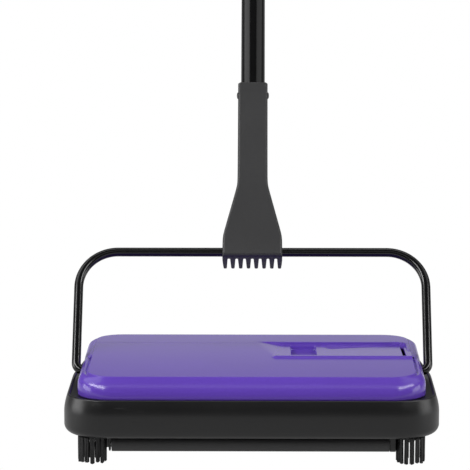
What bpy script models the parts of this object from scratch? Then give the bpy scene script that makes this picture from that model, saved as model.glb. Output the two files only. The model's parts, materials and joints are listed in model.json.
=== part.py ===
"""Hand-pushed carpet sweeper: head with brushes, wheels and dust pans, wire bail and long handle.

Metres, +Z up. X runs across the head, its front faces -Y, and the floor is Z = 0. The origin is
on the floor, in the middle of the whole sweeper with its handle leaning back. Head pieces are
placed from the middle of the head, and handle pieces from the bail's pivot, with local Z along
the handle and local Y towards the back.
"""

import math

import bmesh
import bpy
from mathutils import Matrix, Vector

for old in list(bpy.data.objects):
    bpy.data.objects.remove(old, do_unlink=True)

# ---- Clearances
GAP = 0.0003  # between two pieces that rest on or in each other
RUNNING_GAP = 0.0004  # between a shaft and what turns on it
SINK = 0.001  # how far a joined shape reaches into its neighbour, and a cutter past a face

# ---- Head: frame
HEAD_WIDTH = 0.278
HEAD_DEPTH = 0.195
FRAME_CORNER = 0.032  # outer corner radius in plan
FRAME_BOTTOM = 0.021
FRAME_WALL = 0.0026
BOTTOM_ROUND = 0.008  # radius between the wall and the underside
BOTTOM_LIP = 0.0105  # how far the underside reaches in
BELLY_HEIGHT = 0.039  # height of the widest line
RIM_HEIGHT = 0.050
RIM_INSET = 0.0010
RIM_WIDTH = 0.0026
GUTTER_DEPTH = 0.0014  # gutter floor below the rim
GUTTER_WIDTH = 0.0125  # inner edge of the gutter floor, from the outermost line
DECK_INNER_X = HEAD_WIDTH / 2 - 0.0405  # end decks close the frame over the wheels
DECK_LAP = 0.003  # how far the decks reach under the gutter
FRAME_ARC_STEPS = 6

# ---- Head: cover
COVER_HALF_X = HEAD_WIDTH / 2 - 0.0100
COVER_HALF_Y = HEAD_DEPTH / 2 - 0.0085
COVER_CORNER = 0.026
PLATEAU_HALF_X = COVER_HALF_X - 0.0076
PLATEAU_HALF_Y = COVER_HALF_Y - 0.0070
PLATEAU_CORNER = 0.020
PLATEAU_HEIGHT = 0.066
COVER_WALL = 0.0024
COVER_BULGE = 2.2  # power of the convex side: 1 would be straight
DENT_DEPTH = 0.0030  # side dents for the bail
DENT_HALF = 0.018

# ---- Cover: storage recess, in its right half
BED_FRONT_Y = -0.017
BED_REAR_Y = 0.049
BED_FRONT_HEIGHT = 0.0683  # stands above the plateau
BED_REAR_HEIGHT = 0.0635  # lies below it
BED_LEFT = 0.008
BED_RIGHT = PLATEAU_HALF_X - 0.0024
BED_THICKNESS = 0.0024
POCKET_X = (0.030, 0.049)
POCKET_Y = (-0.008, 0.044)
POCKET_FLOOR = 0.0606
POCKET_WALL = 0.0017
SCOOP_X = (0.055, 0.0635, BED_RIGHT - 0.007)  # start, deepest line and end
SCOOP_Y = (0.008, 0.043)
SCOOP_DEPTH = 0.0030
SLOT_X = (BED_RIGHT - 0.0045, BED_RIGHT - 0.0018)
SLOT_Y = (-0.013, 0.040)

# ---- Cover screws
SCREW_X = COVER_HALF_X - 0.021
SCREW_Y = COVER_HALF_Y - 0.021
SCREW_RADIUS = 0.0015
SCREW_HEAD_RADIUS = 0.0030
SCREW_HEAD = 0.0018
SCREW_REACH = 0.009  # length above the deck
BOSS_WALL = 0.0020
BAIL_NOTCH_LENGTH = 0.016  # cut for the bail's turned-in end, through the cover's side

# ---- Wheels and axles
WHEEL_RADIUS = 0.018
WHEEL_X = HEAD_WIDTH / 2 - 0.0335  # middle of the tyre
WHEEL_SPREAD = 14 / 15  # share of wheel and drum radii together that the axle lies in front of the brush
TYRE_WIDTH = 0.009
TYRE_THICKNESS = 0.0030
AXLE_RADIUS = 0.0016
AXLE_HEAD = 0.0028
PLATE_X = WHEEL_X + 0.0075  # inner face of the end plate
PLATE_THICKNESS = 0.0024
PLATE_TOP_HALF = 0.058
PLATE_BOTTOM_HALF = 0.040
PLATE_BOTTOM = WHEEL_RADIUS - 0.0055

# ---- Roller brush
BRUSH_HALF = WHEEL_X - 0.0100  # half length of the bristles
CORE_RADIUS = 0.0070
DRUM_RADIUS = 0.0120
SPINDLE_RADIUS = 0.0020
BEARING_RADIUS = 0.0050
BEARING_FLANGE = 0.0015
BRUSH_ROWS = 6
BRUSH_TWIST = math.radians(75)
BRUSH_SECTIONS = 11

# ---- Dust pans
PAN_HINGE_Y = HEAD_DEPTH / 2 - 0.0175
PAN_HINGE_HEIGHT = 0.0146
BARREL_RADIUS = 0.0055
BARREL_LEFT = -(HEAD_WIDTH / 2 - 0.0355)
BARREL_RIGHT = HEAD_WIDTH / 2 - 0.0373
PAN_HALF = HEAD_WIDTH / 2 - 0.0445
PAN_FLOOR_DROP = 0.0045  # underside of the floor below the hinge line
PAN_WALL = 0.0016
PAN_WALL_RISE = 0.022  # top of the outer wall above the hinge line
PAN_FLAT = 0.040  # where the floor starts to rise, from the hinge line
PAN_LIP = 0.0465
PAN_PIN_RADIUS = 0.0015
LUG_RADIUS = 0.0058
LUG_THICKNESS = 0.0043
TAB_THICKNESS = 0.0014
PIN_DEPTH = 0.013  # how far a hinge pin reaches into the barrel
SPRING_TURNS = 5
SPRING_WIRE = 0.0009
SPRING_RADIUS = 0.0031
SPRING_LENGTH = 0.0085

# ---- Corner brushes
CORNER_X = HEAD_WIDTH / 2 - 0.0215
CORNER_Y = HEAD_DEPTH / 2 - 0.0195
CORNER_RADIUS = 0.01085
CORNER_DISC = 0.0030
CORNER_FINGERS = 11
CORNER_TIP_HEIGHT = 0.0005
CORNER_PIN_RADIUS = 0.0016
CORNER_PIN_HEAD = 0.0016
CORNER_PIN_DEPTH = 0.004  # the pin's blind bore ends this far below the deck
CORNER_BOSS = 0.0042

# ---- Bail
WIRE_RADIUS = 0.0035
BAIL_PIVOT_HEIGHT = RIM_HEIGHT - GUTTER_DEPTH + WIRE_RADIUS + 0.0009
BAIL_HALF = HEAD_WIDTH / 2 - 0.0046
BAIL_HEIGHT = 0.1004  # crossbar above the pivot
BAIL_TOP_BEND = 0.030
BAIL_LOW_BEND = 0.006
BAIL_END = BAIL_HALF - 2 * WIRE_RADIUS - 0.0174
BAIL_BOSS_X = (BAIL_END + 0.0020, BAIL_END + 0.0080)
BUSH_WALL = 0.0012
LEAN = math.radians(35)

# ---- Handle socket; places are distances from the bail's pivot, along the handle
SOCKET_TOP = 0.2457
SOCKET_FILLET = 0.0020
SOCKET_TOP_ROUND = 0.0010
FLARE_TOP = 0.1548
FLARE_BOTTOM = 0.1094
COMB_WIDTH = 0.0465
COMB_END = 0.09225
COMB_BACK = 0.0126  # tips of the teeth, behind the handle's centre line
COMB_FACE_WALL = 0.0075  # broad face to the roots of the gaps
TEETH = 8
TOOTH_TIP_RATIO = 0.70
TOOTH_ROOT = 0.0040
SOCKET_WALL = 0.0026
HOOK_BRIDGE = 0.0060  # between the crossbar and the cavity above it
CAVITY_FLOOR = 0.0045  # between the cavity and the tube's bore
TOOTH_SLOT = 0.0075  # length of the gaps between the teeth, along the handle
TUBE_DEPTH = 0.0805  # how far the tube goes into the socket
BUTTON_DROP = 0.0062  # buttons below the socket's top

# ---- Handle tubes and grip
TUBE_RADIUS = 0.0095
TUBE_HOUSING = 0.00225  # socket wall round the tube
TUBE_WALL = 0.0005
TUBE_LENGTH = 0.293
SWAGE_LENGTH = 0.025
SWAGE_BEND = 0.003
GRIP_RADIUS = TUBE_RADIUS + 0.0035
GRIP_LENGTH = 0.135
GRIP_LIP = 0.0015  # the lower lip stands out this far
GRIP_LIP_HEIGHT = 0.009
GRIP_WAIST = 0.0008
GRIP_OVERLAP = 0.115  # tube inside the grip
TUBE_STEPS = 20

# ---- Snap buttons
BUTTON_RADIUS = 0.0026
BUTTON_PROUD = 0.0011
BUTTON_FOOT = TUBE_RADIUS - 0.0015  # inner end of a button, from the tube's centre line
STRIP_THICKNESS = 0.0005
STRIP_WIDTH = 0.0046
STRIP_DROP = 0.032

# ---- Places that follow
GUTTER_HEIGHT = RIM_HEIGHT - GUTTER_DEPTH
DECK_TOP = GUTTER_HEIGHT - GAP
DECK_BOTTOM = DECK_TOP - FRAME_WALL
COVER_BOTTOM = GUTTER_HEIGHT + GAP
WHEEL_Y = WHEEL_SPREAD * (WHEEL_RADIUS + DRUM_RADIUS)
BRUSH_HEIGHT = WHEEL_RADIUS + math.sqrt((WHEEL_RADIUS + DRUM_RADIUS) ** 2 - WHEEL_Y**2)
BRUSH_RADIUS = BRUSH_HEIGHT - 0.00047
SOCKET_WIDTH = 2 * (TUBE_RADIUS + TUBE_HOUSING)
TUBE_BOTTOM = SOCKET_TOP - TUBE_DEPTH
BUTTON_AT = SOCKET_TOP - BUTTON_DROP
TUBE_COUNT = 3
TUBES_TOP = TUBE_BOTTOM + TUBE_COUNT * TUBE_LENGTH
GRIP_BOTTOM = TUBES_TOP - GRIP_OVERLAP
GRIP_TOP = GRIP_BOTTOM + GRIP_LENGTH
REACH_BACK = (GRIP_TOP - GRIP_RADIUS) * math.sin(LEAN) + GRIP_RADIUS
HEAD_Y = -(REACH_BACK - HEAD_DEPTH / 2) / 2
SIDES = {"left": -1, "right": 1}
ENDS = {"front": -1, "rear": 1}

# ---- Finishes: colour (linear), roughness, metallic
PURPLE_GLOSS = ((0.105, 0.050, 0.385), 0.16, 0.0)
BLACK_PLASTIC = ((0.030, 0.030, 0.031), 0.38, 0.0)
BLACK_SATIN = ((0.022, 0.022, 0.023), 0.48, 0.0)
BLACK_PAINT = ((0.010, 0.010, 0.011), 0.22, 0.0)
BRIGHT_STEEL = ((0.56, 0.56, 0.57), 0.30, 1.0)
SPRING_STEEL = ((0.36, 0.36, 0.38), 0.34, 1.0)
GREY_RUBBER = ((0.050, 0.050, 0.052), 0.80, 0.0)
BLACK_BRISTLE = ((0.014, 0.014, 0.015), 0.70, 0.0)
GREY_PLASTIC = ((0.20, 0.20, 0.21), 0.45, 0.0)

parts = bpy.data.collections.new("carpet_sweeper")
cutters = bpy.data.collections.new("cutters")
bpy.context.scene.collection.children.link(parts)
bpy.context.scene.collection.children.link(cutters)


# ---- Modelling helpers
def empty(name, location, rotation=(0, 0, 0), parent=None):
    """A reference frame that pieces are placed in."""
    frame = bpy.data.objects.new(name, None)
    frame.location = location
    frame.rotation_euler = rotation
    frame.parent = parent
    parts.objects.link(frame)
    return frame


def add_finish(piece, finish):
    colour, roughness, metallic = finish
    material = bpy.data.materials.new(piece.name)
    material.use_nodes = True
    shader = material.node_tree.nodes["Principled BSDF"]
    shader.inputs["Base Color"].default_value = (*colour, 1)
    shader.inputs["Roughness"].default_value = roughness
    shader.inputs["Metallic"].default_value = metallic
    piece.data.materials.clear()
    piece.data.materials.append(material)


def place(piece, finish, parent, location=(0, 0, 0), rotation=(0, 0, 0)):
    """Puts an object in the parts, or among the cutters where it has no finish."""
    piece.location = location
    piece.rotation_euler = rotation
    piece.parent = parent
    if finish is None:
        cutters.objects.link(piece)
        piece.hide_render = True
        piece.display_type = "WIRE"
    else:
        parts.objects.link(piece)
        add_finish(piece, finish)
    return piece


def from_bmesh(name, shape):
    mesh = bpy.data.meshes.new(name)
    bmesh.ops.recalc_face_normals(shape, faces=shape.faces)
    shape.to_mesh(mesh)
    shape.free()
    return bpy.data.objects.new(name, mesh)


def turned(name, profile, steps, ring=False):
    """A profile of (radius, height) points turned about local Z; a ring's profile closes on itself."""
    count = len(profile)
    edges = [(i, (i + 1) % count) for i in range(count if ring else count - 1)]
    mesh = bpy.data.meshes.new(name)
    mesh.from_pydata([(radius, 0, height) for radius, height in profile], edges, [])
    piece = bpy.data.objects.new(name, mesh)
    screw = piece.modifiers.new("Turn", "SCREW")
    screw.steps = steps
    screw.render_steps = steps
    screw.use_merge_vertices = True
    screw.merge_threshold = 0.00001
    screw.use_smooth_shade = True
    return piece


def rod(name, radius, low, high, steps):
    """A solid round bar along local Z."""
    return turned(name, [(0, high), (radius, high), (radius, low), (0, low)], steps)


def sleeve(name, outer, inner, low, high, steps):
    """A round tube along local Z."""
    profile = [(outer, high), (outer, low), (inner, low), (inner, high)]
    return turned(name, profile, steps, ring=True)


def block(name, low, high):
    """A box between two corners."""
    shape = bmesh.new()
    bmesh.ops.create_cube(shape, size=1)
    size = Vector(high) - Vector(low)
    middle = (Vector(high) + Vector(low)) / 2
    bmesh.ops.scale(shape, vec=size, verts=shape.verts)
    bmesh.ops.translate(shape, vec=middle, verts=shape.verts)
    return from_bmesh(name, shape)


def wire(name, points, radius, resolution):
    """A round wire through a list of points."""
    curve = bpy.data.curves.new(name, "CURVE")
    curve.dimensions = "3D"
    spline = curve.splines.new("POLY")
    spline.points.add(len(points) - 1)
    for point, place_at in zip(spline.points, points):
        point.co = (*place_at, 1)
    curve.bevel_depth = radius
    curve.bevel_resolution = resolution
    curve.use_fill_caps = True
    return bpy.data.objects.new(name, curve)


def plate(name, outlines, thickness):
    """A flat outline in local XY, with holes where later outlines lie inside the first."""
    curve = bpy.data.curves.new(name, "CURVE")
    curve.dimensions = "2D"
    curve.fill_mode = "BOTH"
    curve.extrude = thickness / 2
    for outline in outlines:
        spline = curve.splines.new("POLY")
        spline.points.add(len(outline) - 1)
        for point, (x, y) in zip(spline.points, outline):
            point.co = (x, y, 0, 1)
        spline.use_cyclic_u = True
    return bpy.data.objects.new(name, curve)


def meshed(piece):
    """The curve object as a mesh object, so that it can be cut, joined or be a cutter."""
    bpy.context.scene.collection.objects.link(piece)
    graph = bpy.context.evaluated_depsgraph_get()
    name = piece.name
    mesh = bpy.data.meshes.new_from_object(piece.evaluated_get(graph))
    shape = bmesh.new()
    shape.from_mesh(mesh)
    bmesh.ops.remove_doubles(shape, verts=shape.verts, dist=0.000001)
    bpy.data.objects.remove(piece, do_unlink=True)
    bpy.data.meshes.remove(mesh)
    return from_bmesh(name, shape)


# How an outline's own two axes lie in the piece.
SECTION_TURNS = {
    "XY": Matrix.Identity(4),
    "XZ": Matrix.Rotation(math.pi / 2, 4, "X"),
    "YZ": Matrix(((0, 0, 1, 0), (1, 0, 0, 0), (0, 1, 0, 0), (0, 0, 0, 1))),
    "ZY": Matrix.Rotation(-math.pi / 2, 4, "Y"),
}


def section(name, outline, thickness, plane, holes=()):
    """An outline in the named plane, given its thickness half to each side, as a mesh."""
    piece = meshed(plate(name, [outline, *holes], thickness))
    piece.data.transform(SECTION_TURNS[plane])
    return piece


def arch(radius, foot, steps=8):
    """An outline with a round top about (0, 0) and straight sides down to foot."""
    angles = [math.pi * (1 - i / steps) for i in range(steps + 1)]
    top = [(radius * math.cos(a), radius * math.sin(a)) for a in angles]
    return [(-radius, foot), *top, (radius, foot)]


def circle(x, y, radius, steps):
    turns = [2 * math.pi * i / steps for i in range(steps)]
    return [(x + radius * math.cos(a), y + radius * math.sin(a)) for a in turns]


def lofted(name, loops, ring=False):
    """A skin through loops of equally many points: capped at both ends, or closed into a ring."""
    shape = bmesh.new()
    rows = [[shape.verts.new(point) for point in loop] for loop in loops]
    count = len(rows[0])
    pairs = list(zip(rows, rows[1:] + rows[:1])) if ring else list(zip(rows, rows[1:]))
    for lower, upper in pairs:
        for i in range(count):
            j = (i + 1) % count
            shape.faces.new((lower[i], lower[j], upper[j], upper[i]))
    if not ring:
        shape.faces.new(rows[0][::-1])
        shape.faces.new(rows[-1])
    return from_bmesh(name, shape)


def combine(piece, other, operation, frame, location=(0, 0, 0), rotation=(0, 0, 0)):
    """Cuts or joins another shape, which is kept among the cutters."""
    place(other, None, frame, location, rotation)
    boolean = piece.modifiers.new(other.name, "BOOLEAN")
    boolean.operation = operation
    boolean.solver = "EXACT"
    boolean.object = other


def cut(piece, other, frame, location=(0, 0, 0), rotation=(0, 0, 0)):
    combine(piece, other, "DIFFERENCE", frame, location, rotation)


def join(piece, other, frame, location=(0, 0, 0), rotation=(0, 0, 0)):
    combine(piece, other, "UNION", frame, location, rotation)


def plan_loop(half_x, half_y, corner, height, steps, dent=0.0, dent_steps=0):
    """A rectangle with round corners and, on its short sides, a smooth dent."""
    points = []
    for sign in (1, -1):
        for i in range(dent_steps + 1):
            y = DENT_HALF * (2 * i / dent_steps - 1) if dent_steps else 0.0
            depth = dent * (1 + math.cos(math.pi * y / DENT_HALF)) / 2
            points.append((sign * (half_x - depth), sign * y, height))
        for quarter in range(2):
            sign_x = sign if quarter == 0 else -sign
            start = (0 if sign > 0 else math.pi) + quarter * math.pi / 2
            for i in range(steps + 1):
                angle = start + i * math.pi / 2 / steps
                x = sign_x * (half_x - corner) + corner * math.cos(angle)
                y = sign * (half_y - corner) + corner * math.sin(angle)
                points.append((x, y, height))
    return points


ALONG_X = (0, math.pi / 2, 0)  # turns a piece's local Z to X

head = empty("head", (0, HEAD_Y, 0))
handle = empty("bail_pivot", (0, 0, BAIL_PIVOT_HEIGHT), (-LEAN, 0, 0), head)


# ---- Frame
def frame_profile():
    """(inset, height) points round the frame's wall, gutter and bottom lip."""
    outer = [(BOTTOM_LIP, FRAME_BOTTOM)]
    inner = []
    steps = 3
    for i in range(steps + 1):
        angle = i * math.pi / 2 / steps
        reach = 1 - math.sin(angle)
        rise = 1 - math.cos(angle)
        outer.append((BOTTOM_ROUND * reach, FRAME_BOTTOM + BOTTOM_ROUND * rise))
        bend = BOTTOM_ROUND - FRAME_WALL
        inner.append((FRAME_WALL + bend * reach, FRAME_BOTTOM + FRAME_WALL + bend * rise))
    outer += [(0, BELLY_HEIGHT)]
    outer += [(RIM_INSET, RIM_HEIGHT - 0.0006), (RIM_INSET + 0.0006, RIM_HEIGHT)]
    rim_inner = RIM_INSET + RIM_WIDTH
    outer += [(rim_inner, RIM_HEIGHT), (rim_inner, GUTTER_HEIGHT), (GUTTER_WIDTH, GUTTER_HEIGHT)]
    under = GUTTER_HEIGHT - FRAME_WALL
    inner = [(BOTTOM_LIP, FRAME_BOTTOM + FRAME_WALL)] + inner
    inner += [(FRAME_WALL, BELLY_HEIGHT), (rim_inner, under), (GUTTER_WIDTH, under)]
    return outer + inner[::-1]


def hinge_lug(name, low_x, high_x, radius):
    """A lug that hangs from the bottom lip and carries a pan's hinge pin."""
    reach = HEAD_DEPTH / 2 - PAN_HINGE_Y - FRAME_WALL - 0.001
    top = FRAME_BOTTOM + FRAME_WALL / 2 - PAN_HINGE_HEIGHT
    hanging = [(y, -z) for y, z in arch(radius, -top)[1:]]
    lug = section(name, [(-reach, top), *hanging], high_x - low_x, "YZ")
    lug.data.transform(Matrix.Translation(((low_x + high_x) / 2, 0, 0)))
    return lug


def make_frame():
    loops = []
    for inset, height in frame_profile():
        half_x = HEAD_WIDTH / 2 - inset
        half_y = HEAD_DEPTH / 2 - inset
        loops.append(plan_loop(half_x, half_y, FRAME_CORNER - inset, height, FRAME_ARC_STEPS))
    frame = place(lofted("frame_shell", loops, ring=True), BLACK_PLASTIC, head)
    deck_inset = GUTTER_WIDTH - DECK_LAP
    deck_outer = HEAD_WIDTH / 2 - deck_inset
    deck_half_y = HEAD_DEPTH / 2 - deck_inset
    deck_corner = FRAME_CORNER - deck_inset
    for side, sign in SIDES.items():
        deck_loops = []
        for height in (DECK_BOTTOM, DECK_TOP):
            loop = plan_loop(deck_outer, deck_half_y, deck_corner, height, FRAME_ARC_STEPS)
            trimmed = [(sign * max(sign * x, DECK_INNER_X), y, z) for x, y, z in loop]
            deck_loops.append(without_repeats(trimmed))
        join(frame, lofted(f"deck_{side}", deck_loops), head)
        boss_low, boss_high = BAIL_BOSS_X
        boss_radius = WIRE_RADIUS + RUNNING_GAP + BUSH_WALL + GAP + BOSS_WALL
        outline = arch(boss_radius, DECK_TOP - BAIL_PIVOT_HEIGHT - SINK)
        boss = section(f"bail_boss_{side}", outline, boss_high - boss_low, "YZ")
        join(frame, boss, head, (sign * (boss_low + boss_high) / 2, 0, BAIL_PIVOT_HEIGHT))
        for end, facing in ENDS.items():
            corner = (sign * CORNER_X, facing * CORNER_Y, 0)
            low = FRAME_BOTTOM + 0.001
            boss = rod(f"corner_boss_{end}_{side}", CORNER_BOSS, low, DECK_TOP - 0.001, 12)
            join(frame, boss, head, corner)
    for end, facing in ENDS.items():
        turn = (0, 0, 0) if facing < 0 else (0, 0, math.pi)
        at = (0, facing * PAN_HINGE_Y, PAN_HINGE_HEIGHT)
        lug_x = BARREL_RIGHT + GAP
        tab_x = BARREL_LEFT - GAP
        join(frame, hinge_lug(f"lug_{end}", lug_x, lug_x + LUG_THICKNESS, LUG_RADIUS), head, at, turn)
        join(frame, hinge_lug(f"tab_{end}", tab_x - TAB_THICKNESS, tab_x, BARREL_RADIUS), head, at, turn)
        bore = rod(f"pin_bores_{end}", PAN_PIN_RADIUS + GAP, -HEAD_WIDTH / 2, HEAD_WIDTH / 2, 10)
        cut(frame, bore, head, at, ALONG_X)
    for side, sign in SIDES.items():
        bush_radius = WIRE_RADIUS + RUNNING_GAP + BUSH_WALL + GAP
        reach = 2 * (boss_high - boss_low)
        bore = rod(f"bail_bore_{side}", bush_radius, -reach, reach, 16)
        cut(frame, bore, head, (sign * sum(BAIL_BOSS_X) / 2, 0, BAIL_PIVOT_HEIGHT), ALONG_X)
        for end, facing in ENDS.items():
            top = DECK_BOTTOM - CORNER_PIN_DEPTH
            bore = rod(f"corner_bore_{end}_{side}", CORNER_PIN_RADIUS + GAP, 0, top, 10)
            cut(frame, bore, head, (sign * CORNER_X, facing * CORNER_Y, 0))
            low = DECK_BOTTOM - SINK
            bore = rod(f"screw_bore_{end}_{side}", SCREW_RADIUS + GAP, low, DECK_TOP + SINK, 10)
            cut(frame, bore, head, (sign * SCREW_X, facing * SCREW_Y, 0))
    return frame


def without_repeats(loop):
    """The loop without points that a trim has put on top of or in line with their neighbours."""
    count = len(loop)
    kept = []
    for i in range(count):
        before, here, after = loop[i - 1], loop[i], loop[(i + 1) % count]
        straight = abs(before[0] - here[0]) < 1e-9 and abs(after[0] - here[0]) < 1e-9
        if not straight:
            kept.append(here)
    return kept


# ---- Cover
def cover_loop(rise, offset, height):
    """The cover's outline at a share of its rise, moved in by offset."""
    lean = rise**COVER_BULGE
    half_x = COVER_HALF_X + (PLATEAU_HALF_X - COVER_HALF_X) * lean - offset
    half_y = COVER_HALF_Y + (PLATEAU_HALF_Y - COVER_HALF_Y) * lean - offset
    corner = COVER_CORNER + (PLATEAU_CORNER - COVER_CORNER) * rise - offset
    return plan_loop(half_x, half_y, corner, height, 6, DENT_DEPTH, 6)


def make_cover():
    span = PLATEAU_HEIGHT - COVER_BOTTOM
    rises = (1.0, 0.8, 0.5, 0.0)
    loops = [cover_loop(t, COVER_WALL, COVER_BOTTOM + (span - COVER_WALL) * t) for t in rises]
    loops += [cover_loop(t, 0, COVER_BOTTOM + span * t) for t in rises[::-1]]
    cover = place(lofted("top_cover", loops), PURPLE_GLOSS, head)

    slope = math.atan2(BED_REAR_HEIGHT - BED_FRONT_HEIGHT, BED_REAR_Y - BED_FRONT_Y)
    bed = empty("recess_bed", (0, BED_FRONT_Y, BED_FRONT_HEIGHT), (slope, 0, 0), head)
    length = math.hypot(BED_REAR_HEIGHT - BED_FRONT_HEIGHT, BED_REAR_Y - BED_FRONT_Y)
    crossing = length * (BED_FRONT_HEIGHT - PLATEAU_HEIGHT) / (BED_FRONT_HEIGHT - BED_REAR_HEIGHT)
    sink = block("recess_cut", (BED_LEFT, crossing - 10 * SINK, 0), (BED_RIGHT, length, 8 * SINK))
    floor_low = (BED_LEFT - SINK, 0, -BED_THICKNESS)
    floor_high = (BED_RIGHT + SINK, length + 2 * SINK, -1e-5)
    floor = block("recess_floor", floor_low, floor_high)
    cut(cover, sink, bed)
    join(cover, floor, bed)
    low_x, high_x = POCKET_X
    low_y, high_y = POCKET_Y
    wall = POCKET_WALL
    cup_low = (low_x - wall, low_y - wall, POCKET_FLOOR - wall)
    cup = block("pocket_cup", cup_low, (high_x + wall, high_y + wall, BED_REAR_HEIGHT - 0.0012))
    join(cover, cup, head)
    above = BED_FRONT_HEIGHT + 10 * SINK
    cut(cover, block("pocket_cut", (low_x, low_y, POCKET_FLOOR), (high_x, high_y, above)), head)
    start, deepest, end = SCOOP_X
    back = BED_THICKNESS
    local_y = [y - BED_FRONT_Y for y in SCOOP_Y]
    outline = [(start - back, -back / 2), (deepest, -SCOOP_DEPTH - back), (end + back, -back / 2)]
    backing = section("scoop_back", outline, local_y[1] - local_y[0] + 2 * back, "XZ")
    join(cover, backing, bed, (0, sum(local_y) / 2, 0))
    outline = [(start - 0.002, 0.001), (deepest, -SCOOP_DEPTH), (end + 0.008, 0.001)]
    scoop = section("scoop_cut", outline, local_y[1] - local_y[0], "XZ")
    cut(cover, scoop, bed, (0, sum(local_y) / 2, 0))
    slot_low = (SLOT_X[0], SLOT_Y[0], COVER_BOTTOM)
    slot_high = (SLOT_X[1], SLOT_Y[1], above)
    cut(cover, block("slot_cut", slot_low, slot_high), head)
    boss_radius = SCREW_RADIUS + GAP + BOSS_WALL
    for side, sign in SIDES.items():
        for end_name, facing in ENDS.items():
            at = (sign * SCREW_X, facing * SCREW_Y, 0)
            high = PLATEAU_HEIGHT - COVER_WALL / 2
            boss = rod(f"cover_boss_{end_name}_{side}", boss_radius, COVER_BOTTOM, high, 12)
            join(cover, boss, head, at)
            top = DECK_TOP + SCREW_REACH + GAP
            pilot = rod(f"cover_pilot_{end_name}_{side}", SCREW_RADIUS + GAP, 0, top, 10)
            cut(cover, pilot, head, at)
        clear = WIRE_RADIUS + 0.0010
        outline = arch(clear, COVER_BOTTOM - BAIL_PIVOT_HEIGHT - SINK)
        notch = section(f"bail_notch_{side}", outline, BAIL_NOTCH_LENGTH, "YZ")
        cut(cover, notch, head, (sign * (COVER_HALF_X - 0.005), 0, BAIL_PIVOT_HEIGHT))
    return cover


def make_cover_screws():
    for side, sign in SIDES.items():
        for end, facing in ENDS.items():
            seat = DECK_BOTTOM - GAP
            top = DECK_TOP + SCREW_REACH
            profile = [(0, top), (SCREW_RADIUS, top), (SCREW_RADIUS, seat), (SCREW_HEAD_RADIUS, seat)]
            profile += [(SCREW_HEAD_RADIUS * 0.8, seat - SCREW_HEAD), (0, seat - SCREW_HEAD)]
            screw = turned(f"cover_screw_{end}_{side}", profile, 10)
            place(screw, BRIGHT_STEEL, head, (sign * SCREW_X, facing * SCREW_Y, 0))


# ---- End plates, wheels and roller brush
def make_end_plates():
    top = DECK_BOTTOM - GAP
    outline = [(-PLATE_TOP_HALF, top), (-PLATE_BOTTOM_HALF, PLATE_BOTTOM)]
    outline += [(PLATE_BOTTOM_HALF, PLATE_BOTTOM), (PLATE_TOP_HALF, top)]
    holes = [circle(0, BRUSH_HEIGHT, BEARING_RADIUS + GAP, 16)]
    holes += [circle(end * WHEEL_Y, WHEEL_RADIUS, AXLE_RADIUS + GAP, 10) for end in ENDS.values()]
    for side, sign in SIDES.items():
        end_plate = section(f"end_plate_{side}", outline, PLATE_THICKNESS, "YZ", holes)
        place(end_plate, GREY_PLASTIC, head, (sign * (PLATE_X + PLATE_THICKNESS / 2), 0, 0))


def make_wheels():
    half = TYRE_WIDTH / 2
    seat = WHEEL_RADIUS - TYRE_THICKNESS
    bore = AXLE_RADIUS + RUNNING_GAP
    hub_half = half - 0.0004
    hub = [(seat, hub_half), (seat, -hub_half), (seat - 0.0025, -hub_half), (seat - 0.0025, -0.0012)]
    hub += [(0.0045, -0.0012), (0.0045, -hub_half), (bore, -hub_half), (bore, hub_half)]
    hub += [(0.0045, hub_half), (0.0045, 0.0012), (seat - 0.0025, 0.0012), (seat - 0.0025, hub_half)]
    tread = [(WHEEL_RADIUS - 0.0008, half), (WHEEL_RADIUS, half - 0.0010), (WHEEL_RADIUS, 0.0010 - half)]
    tread += [(WHEEL_RADIUS - 0.0008, -half), (seat + GAP, -half), (seat + GAP, half)]
    for side, sign in SIDES.items():
        for end, facing in ENDS.items():
            at = (sign * WHEEL_X, facing * WHEEL_Y, WHEEL_RADIUS)
            place(turned(f"wheel_hub_{end}_{side}", hub, 20, ring=True), GREY_PLASTIC, head, at, ALONG_X)
            place(turned(f"tyre_{end}_{side}", tread, 20, ring=True), GREY_RUBBER, head, at, ALONG_X)
            inner = WHEEL_X - half - 0.0012
            outer = PLATE_X + PLATE_THICKNESS + 0.0008
            profile = [(0, outer), (AXLE_RADIUS, outer), (AXLE_RADIUS, inner), (AXLE_HEAD, inner)]
            profile += [(AXLE_HEAD, inner - 0.0010), (0, inner - 0.0010)]
            axle = turned(f"axle_{end}_{side}", profile, 10)
            turn = ALONG_X if sign > 0 else (0, -math.pi / 2, 0)
            place(axle, BRIGHT_STEEL, head, (0, at[1], at[2]), turn)


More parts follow.
